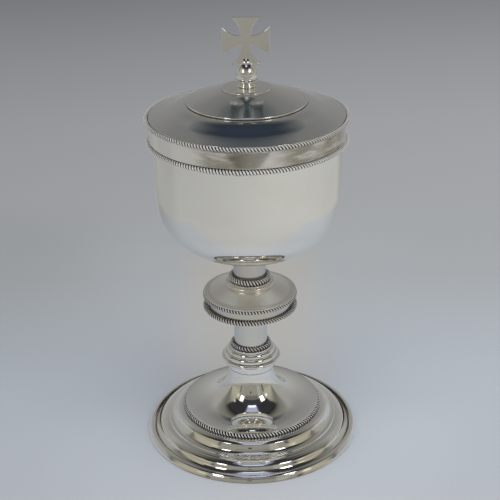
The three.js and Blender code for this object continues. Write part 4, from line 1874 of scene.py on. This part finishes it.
@dataclass
class Fastening(SubAssembly):
    """A threaded rod with the washer and the nut on its lower end."""

    rod_node: str = "tie_rod"
    washer_node: str = "tie_rod_washer"
    nut_node: str = "tie_rod_nut"
    flats: float = 10.0
    pitch: float = 1.0
    thread: float = 12.0
    play: float = 0.3
    thread_depth: float = 0.6
    end_chamfer: float = 0.5
    turned_share: float = 0.96
    sides: int = 36
    rows_per_pitch: int = 6
    facets_per_flat: int = 12

    def build(self) -> None:
        """Builds the rod, the washer and the nut."""
        brass = Brass(f"Brass of the {self.rod_node}").material()
        rod = Room.of(self.rod_node)
        bore = rod.radius + self.play
        self.dress(self.rod(rod), brass, Slot.BRASS, self.rod_node)
        washer = Room.of(self.washer_node)
        line = Outline(bore, washer.base, 0.1).to(washer.radius, washer.base, 0.25)
        line.to(washer.radius, washer.top, 0.25).to(bore, washer.top, 0.1)
        self.dress(turn(self.washer_node + "_ring", line, NARROW), brass, Slot.BRASS, self.washer_node)
        self.dress(self.nut(Room.of(self.nut_node), bore), brass, Slot.BRASS, self.nut_node)

    def rod(self, room: Room) -> bpy.types.Object:
        """Makes the rod, with a screw thread on its lower end.

        Args:
            room: The rod's room.

        Returns:
            The piece.
        """
        depth = self.thread_depth * self.pitch
        step = self.pitch / self.rows_per_pitch
        heights = [room.base + i * step for i in range(int(self.thread / step) + 1)]
        heights.append(room.top)
        vertices = [(0.0, 0.0, room.base)]
        for z in heights:
            fade = min(1.0, (heights[-2] - z) / self.pitch) if z < room.top else 0.0
            chamfer = max(0.0, self.end_chamfer - (z - room.base))
            for i in range(self.sides):
                angle = math.tau * i / self.sides
                wave = abs(((z / self.pitch - angle / math.tau) % 1.0) * 2 - 1)
                r = min(room.radius - depth * wave * max(fade, 0.0), room.radius - chamfer)
                vertices.append((r * math.cos(angle), r * math.sin(angle), z))
        vertices.append((0.0, 0.0, room.top))
        faces = [(0, 1 + (i + 1) % self.sides, 1 + i) for i in range(self.sides)]
        for row in range(len(heights) - 1):
            first = 1 + row * self.sides
            faces += bridge(first, first + self.sides, self.sides)
        last = len(vertices) - 1
        first = last - self.sides
        faces += [(first + i, first + (i + 1) % self.sides, last) for i in range(self.sides)]
        return piece_of(self.rod_node + "_screw", vertices, faces)

    def nut(self, room: Room, bore: float) -> bpy.types.Object:
        """Makes the six-sided nut, with its corners turned off.

        Args:
            room: The nut's room.
            bore: Radius of its hole.

        Returns:
            The piece.
        """
        count = NUT_SIDES * self.facets_per_flat
        half_side = math.pi / NUT_SIDES
        flat = self.flats / 2
        ring = flat * self.turned_share
        columns = []
        for i in range(count):
            angle = math.tau * i / count
            across = (angle + half_side) % (2 * half_side) - half_side
            reach = flat / math.cos(half_side - abs(across))
            drop = max(0.0, reach - ring) * math.tan(math.radians(30))
            levels = (
                (bore, room.base),
                (ring, room.base),
                (reach, room.base + drop),
                (reach, room.top - drop),
                (ring, room.top),
                (bore, room.top),
            )
            columns.append([(r * math.cos(angle), r * math.sin(angle), z) for r, z in levels])
        vertices = [place for row in zip(*columns) for place in row]
        firsts = range(0, len(vertices), count)
        faces = [face for first in firsts for face in bridge(first, (first + count) % len(vertices), count)]
        return piece_of(self.nut_node + "_hex", vertices, faces)


# Setting


class Ground(Enum):
    """What a mirror card stands or lies on."""

    UPRIGHT = "upright"
    FLAT = "flat"


@dataclass(frozen=True)
class Panel:
    """A soft-edged patch of the surroundings that the silver mirrors, by angles in degrees.

    Its low and high count from the horizon behind the ciborium, over the zenith at 90, to the horizon on the
    camera's side at 180. Its left and right count from the middle, and are below zero to the left of it.
    """

    colour: tuple[float, float, float]
    low: float
    high: float
    left: float
    right: float
    edge: float = 3.0
    side_edge: float = 3.0


@dataclass(frozen=True)
class MirrorCard:
    """A sheet near the ciborium that only reflections show: the backdrop's curve or the table's end."""

    name: str
    ground: Ground
    middle: float
    start: float
    end: float
    width: float
    stops: tuple[tuple[float, tuple[float, float, float]], ...]
    side_fade: float = 0.3
    end_fade: float = 0.1

    def build(self) -> None:
        """Builds the card."""
        half = self.width / 2
        if self.ground is Ground.UPRIGHT:
            corners = [(-half, self.middle, self.start), (half, self.middle, self.start)]
            corners += [(half, self.middle, self.end), (-half, self.middle, self.end)]
        else:
            corners = [(-half, self.start, self.middle), (half, self.start, self.middle)]
            corners += [(half, self.end, self.middle), (-half, self.end, self.middle)]
        mesh = bpy.data.meshes.new(self.name)
        mesh.from_pydata(corners, [], [(0, 1, 2, 3)])
        layer = mesh.uv_layers.new(name="Card")
        for corner, place in zip(layer.data, ((0, 0), (1, 0), (1, 1), (0, 1))):
            corner.uv = place
        card = linked(self.name, mesh)
        card.visible_camera = False
        card.visible_diffuse = False
        card.visible_transmission = False
        card.visible_shadow = False
        mesh.materials.append(self.material())

    def material(self) -> bpy.types.Material:
        """Builds its glow, which fades at its edges.

        Returns:
            The material, on the card's UV map.
        """
        made, graph = begin_material(self.name)
        across, along, _ = graph.split(graph.out(graph.node("ShaderNodeUVMap", {"uv_map": "Card"})))
        tone = graph.ramp(along, self.stops)
        glow = graph.out(graph.node("ShaderNodeEmission", inputs={"Color": tone}))
        clear = graph.out(graph.node("ShaderNodeBsdfTransparent"))
        shown = abs(across * 2 - 1).rise(1.0, 1 - 2 * self.side_fade) * along.rise(1.0, 1 - self.end_fade)
        mixed = graph.node("ShaderNodeMixShader", inputs={0: shown, 1: clear, 2: glow})
        graph.node("ShaderNodeOutputMaterial", inputs={"Surface": graph.out(mixed)})
        return made


@dataclass(frozen=True)
class Softbox:
    """A long soft lamp that looks at the ciborium. It leans from its foot to its head."""

    name: str
    foot: tuple[float, float, float]
    head: tuple[float, float, float]
    width: float
    power: float
    colour: tuple[float, float, float] = (1.0, 1.0, 1.0)
    mirrored: bool = True

    def hang(self, aim: Vector) -> None:
        """Hangs the lamp.

        Args:
            aim: The point that it faces.
        """
        low, high = Vector(self.foot), Vector(self.head)
        middle = (low + high) / 2
        along = (high - low).normalized()
        away = (middle - aim).normalized()
        across = along.cross(away).normalized()
        facing = across.cross(along)
        light = bpy.data.lights.new(self.name, "AREA")
        light.shape = "RECTANGLE"
        light.size = self.width
        light.size_y = (high - low).length
        light.energy = self.power
        light.color = self.colour
        lamp = linked(self.name, light)
        axes = Matrix((across, along, facing)).transposed().to_4x4()
        lamp.matrix_world = Matrix.Translation(middle) @ axes
        lamp.visible_camera = False
        lamp.visible_glossy = self.mirrored


@dataclass
class Studio:
    """The floor, the surroundings, the lamps and the camera."""

    aim: tuple[float, float, float] = (0.0, 0.0, 0.12)
    ambient: tuple[float, float, float] = (0.66, 0.67, 0.69)
    backdrop: tuple[float, float, float] = (0.36, 0.37, 0.39)
    floor_start: float = -0.6
    floor_end: float = 1.2
    # front to back: painted shade that darkens the floor towards the back
    floor_tones: tuple[tuple[float, tuple[float, float, float]], ...] = (
        (0.0, (0.51, 0.51, 0.49)),
        (0.25, (0.5, 0.5, 0.485)),
        (0.295, (0.45, 0.475, 0.51)),
        (0.36, (0.45, 0.48, 0.52)),
        (0.4, (0.425, 0.452, 0.482)),
        (0.45, (0.388, 0.405, 0.418)),
        (0.535, (0.372, 0.38, 0.39)),
        (0.66, (0.36, 0.365, 0.375)),
        (0.8, (0.32, 0.325, 0.335)),
        (1.0, (0.25, 0.252, 0.26)),
    )
    # the front tone that the sides keep, so that the painted shade to the back spares them
    side_tone: tuple[float, float, float] = (0.5, 0.5, 0.485)
    # tint and lift of the painted warm light on the floor behind the stem
    painted_warm_glow: tuple[float, float, float] = (1.13, 1.035, 0.91)
    far_tone: tuple[float, float, float] = (0.545, 0.552, 0.565)
    floor_reach: float = 14.0
    floor_hole: float = 0.0638
    floor_sides: int = 96
    camera_place: tuple[float, float, float] = (0.0, -0.62197, 0.40827)
    camera_pan: float = 0.04
    camera_pitch: float = 24.945
    camera_roll: float = -0.942
    focal_pixels: float = 1173.2
    picture_pixels: float = 500.0
    sensor: float = 36.0
    sky: tuple[tuple[float, tuple[float, float, float]], ...] = (
        (0.0, (0.37, 0.37, 0.35)),
        (52.0, (0.34, 0.34, 0.32)),
        (63.0, (0.22, 0.22, 0.2)),
        (76.0, (0.16, 0.16, 0.14)),
        (92.0, (0.19, 0.19, 0.155)),
        (104.0, (0.3, 0.29, 0.235)),
        (118.0, (0.4, 0.377, 0.31)),
        (150.0, (0.41, 0.387, 0.315)),
        (160.0, (0.37, 0.345, 0.255)),
        (172.0, (0.3, 0.285, 0.22)),
        (180.0, (0.36, 0.35, 0.32)),
    )
    panels: tuple[Panel, ...] = (
        Panel((0.022, 0.022, 0.024), 80.0, 104.0, -46.0, 46.0, 8.0, 5.0),
        Panel((0.03, 0.03, 0.034), 90.0, 124.5, -46.0, 46.0, 2.5, 4.0),
        Panel((0.29, 0.28, 0.25), 127.0, 185.0, -44.0, 44.0, 2.0, 1.0),
        Panel((0.38, 0.38, 0.34), 144.0, 176.0, 22.0, 34.0, 3.0, 1.0),
        Panel((0.11, 0.105, 0.09), 150.0, 184.0, 44.0, 50.0, 6.0, 2.0),
        Panel((0.13, 0.12, 0.1), 150.0, 178.0, -47.0, -43.0, 6.0, 1.5),
        Panel((0.28, 0.272, 0.24), 127.0, 180.0, -23.0, 22.0, 3.0, 3.0),
        Panel((0.15, 0.145, 0.138), 127.0, 148.0, -21.0, 20.0, 4.0, 1.5),
        Panel((0.04, 0.04, 0.045), 120.0, 136.0, -24.0, 24.0, 1.5, 2.0),
        Panel((0.032, 0.048, 0.058), 120.0, 130.5, -12.0, 12.0, 1.5, 2.5),
        Panel((0.4, 0.43, 0.6), 86.0, 118.0, -9.5, 10.5, 3.0, 2.5),
        Panel((1.15, 1.3, 1.35), 115.5, 121.0, -8.0, 9.0, 1.0, 1.5),
        Panel((0.025, 0.025, 0.018), 154.0, 160.0, -5.5, -1.0, 1.0, 1.0),
        Panel((0.95, 0.93, 0.78), 128.0, 139.0, 46.0, 54.0, 2.0, 2.0),
        Panel((0.62, 0.58, 0.46), 131.0, 142.0, -52.0, -42.0, 2.0, 2.0),
        Panel((0.62, 0.6, 0.54), 109.0, 115.0, -49.0, -42.0, 2.0, 2.0),
    )
    cards: tuple[MirrorCard, ...] = (
        MirrorCard(
            "backdrop_curve",
            Ground.UPRIGHT,
            middle=0.27,
            start=0.001,
            end=1.3,
            width=0.74,
            stops=(
                (0.0, (0.4, 0.405, 0.4)),
                (0.09, (0.32, 0.323, 0.322)),
                (0.17, (0.26, 0.262, 0.262)),
                (0.24, (0.235, 0.237, 0.237)),
                (0.32, (0.19, 0.192, 0.192)),
                (0.395, (0.172, 0.175, 0.178)),
                (0.425, (0.12, 0.125, 0.132)),
                (0.455, (0.08, 0.088, 0.098)),
                (0.49, (0.052, 0.06, 0.072)),
                (0.55, (0.028, 0.036, 0.048)),
                (0.62, (0.026, 0.036, 0.055)),
                (1.0, (0.035, 0.048, 0.072)),
            ),
        ),
        MirrorCard(
            "table_end",
            Ground.FLAT,
            middle=0.001,
            start=-0.54,
            end=-2.5,
            width=3.0,
            stops=((0.0, (0.25, 0.245, 0.225)), (0.2, (0.3, 0.29, 0.265)), (1.0, (0.36, 0.35, 0.32))),
            side_fade=0.1,
        ),
    )
    lamps: tuple[Softbox, ...] = (
        Softbox("left_softbox", (-0.46, -0.62, 0.49), (-0.5, -0.54, 0.72), 0.16, 0.45),
        Softbox("right_softbox", (0.47, -0.6, 0.5), (0.52, -0.5, 0.72), 0.17, 0.5),
        Softbox("overhead_softbox", (0.25, -0.75, 1.25), (0.15, 0.25, 1.65), 1.2, 8.0, mirrored=False),
    )

    def build(self) -> None:
        """Sets everything up."""
        self.lay_floor()
        self.surround()
        for card in self.cards:
            card.build()
        for lamp in self.lamps:
            lamp.hang(Vector(self.aim))
        self.aim_camera()

    def lay_floor(self) -> None:
        """Lays a plain pale floor with painted light and shade: painted shade to the back, to the left and
        beside the ciborium, painted warm light behind the stem and a painted pool of light in front of the
        foot.

        It is clear from below and open inside the foot, so that the foot can be looked into from there.
        """
        mesh = bpy.data.meshes.new("floor")
        count = self.floor_sides
        turns = [math.tau * i / count for i in range(count)]
        reaches = (self.floor_hole, self.floor_reach)
        corners = [(r * math.cos(a), r * math.sin(a), 0.0) for r in reaches for a in turns]
        mesh.from_pydata(corners, [], bridge(count, 0, count))
        floor = linked("floor", mesh)
        paper, graph = begin_material("Pale paper with painted light and shade")
        x, y, _ = graph.split(graph.place())
        # painted shade: darker to the back, except at the sides in front
        along = (y - self.floor_start) / (self.floor_end - self.floor_start)
        tone = graph.ramp(along, self.floor_tones)
        beside = abs(x).rise(0.24, 0.34) * y.rise(0.6, 0.3)
        distance = graph.hypotenuse(x, y)
        whole = graph.blend(distance.rise(1.2, 3.0), graph.blend(beside, tone, self.side_tone), self.far_tone)
        # painted warm light on the floor behind the stem
        back = (y - 0.17) / 0.3
        behind = graph.math("SQRT", x * x / 0.0056 + back * back).rise(1.0, 0.25)
        cast = graph.vector("MULTIPLY", whole, graph.blend(behind, (1.0, 1.0, 1.0), self.painted_warm_glow))
        # painted pool of light on the floor in front of the foot
        near = distance.rise(0.16, 0.075) * y.rise(0.05, -0.02)
        # painted shade on the floor beside the ciborium, more on the left
        sides = x.rise(-0.07, -0.19) * 0.09 + x.rise(0.07, 0.19) * 0.03
        painted_side_shade = sides * y.rise(-0.02, 0.1) * y.rise(0.4, 0.25)
        # painted light and shade: brighter to the right, with the painted pool of light and the painted side
        # shade
        painted_light_and_shade = (x.rise(-0.4, 0.4) * 0.14 + 0.93) * (near * 0.12 + 1) * (1 - painted_side_shade)
        inputs = {"Base Color": graph.scale(cast, painted_light_and_shade), "Roughness": 0.9, "Specular IOR Level": 0.2}
        pale = graph.out(graph.node("ShaderNodeBsdfPrincipled", inputs=inputs))
        clear = graph.out(graph.node("ShaderNodeBsdfTransparent"))
        below = graph.out(graph.node("ShaderNodeNewGeometry"), "Backfacing")
        mixed = graph.node("ShaderNodeMixShader", inputs={0: below, 1: pale, 2: clear})
        graph.node("ShaderNodeOutputMaterial", inputs={"Surface": graph.out(mixed)})
        mesh.materials.append(paper)

    def surround(self) -> None:
        """Builds the world: even light for the floor, and the room for what is mirrored."""
        world = bpy.data.worlds.new("Studio")
        bpy.context.scene.world = world
        world.use_nodes = True
        graph = Graph(world.node_tree)
        rays = graph.node("ShaderNodeLightPath")
        lit = graph.blend(graph.out(rays, "Is Camera Ray"), self.ambient, self.backdrop)
        seen = graph.blend(graph.out(rays, "Is Transmission Ray"), lit, self.backdrop)
        colour = graph.blend(graph.out(rays, "Is Glossy Ray"), seen, self.room(graph))
        light = graph.node("ShaderNodeBackground", inputs={"Color": colour})
        graph.node("ShaderNodeOutputWorld", inputs={"Surface": graph.out(light)})

    def room(self, graph: Graph) -> Wire:
        """Paints the room that the silver mirrors.

        Args:
            graph: The world's graph.

        Returns:
            Its colour by direction.
        """
        x, y, z = graph.split(graph.out(graph.node("ShaderNodeTexCoord"), "Generated"))
        rise = graph.math("ARCTAN2", z, y) * (180 / math.pi)
        side = graph.math("ARCSINE", x) * (180 / math.pi)
        stops = [(place / 180, colour) for place, colour in self.sky]
        colour = graph.ramp(rise / 180, stops)
        for panel in self.panels:
            upright = rise.between(panel.low, panel.high, panel.edge)
            across = side.between(panel.left, panel.right, panel.side_edge)
            colour = graph.blend(upright * across, colour, panel.colour)
        return colour

    def aim_camera(self) -> None:
        """Puts the camera where the photograph was taken from."""
        pan, pitch, roll = (math.radians(a) for a in (self.camera_pan, self.camera_pitch, self.camera_roll))
        forward = Vector((math.sin(pan) * math.cos(pitch), math.cos(pan) * math.cos(pitch), -math.sin(pitch)))
        level = Vector((math.cos(pan), -math.sin(pan), 0.0))
        upright = level.cross(forward)
        right = level * math.cos(roll) + upright * math.sin(roll)
        up = upright * math.cos(roll) - level * math.sin(roll)
        camera = bpy.data.cameras.new("camera")
        camera.sensor_width = self.sensor
        camera.lens = self.focal_pixels * self.sensor / self.picture_pixels
        camera.clip_end = 100.0
        holder = linked("camera", camera)
        axes = Matrix((right, up, -forward)).transposed().to_4x4()
        holder.matrix_world = Matrix.Translation(self.camera_place) @ axes
        bpy.context.scene.camera = holder


def main() -> None:
    """Builds the ciborium and its setting."""
    logging.basicConfig(level=logging.INFO, format="%(name)s: %(message)s")
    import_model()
    bpy.context.scene.view_settings.view_transform = "Standard"
    Studio().build()
    ropes = RopeTree()
    parts: list[tuple[SubAssembly, Callable[[], None]]] = []
    for assembly in (Foot(), Stem(), Knop(), Bowl(), Lid()):
        parts.append((assembly, lambda built=assembly: built.build(ropes)))
    tie_rod = Fastening()
    stud = Fastening(
        body=Body.LID,
        rod_node="finial_stud",
        washer_node="finial_washer",
        nut_node="finial_nut",
        flats=7.0,
        pitch=0.7,
        thread=7.0,
    )
    for assembly in (Finial(), tie_rod, stud):
        parts.append((assembly, assembly.build))
    for assembly, build in parts:
        build()
        log.info("%s done: %d pieces", type(assembly).__name__, assembly.count)


if __name__ == "__main__":
    main()
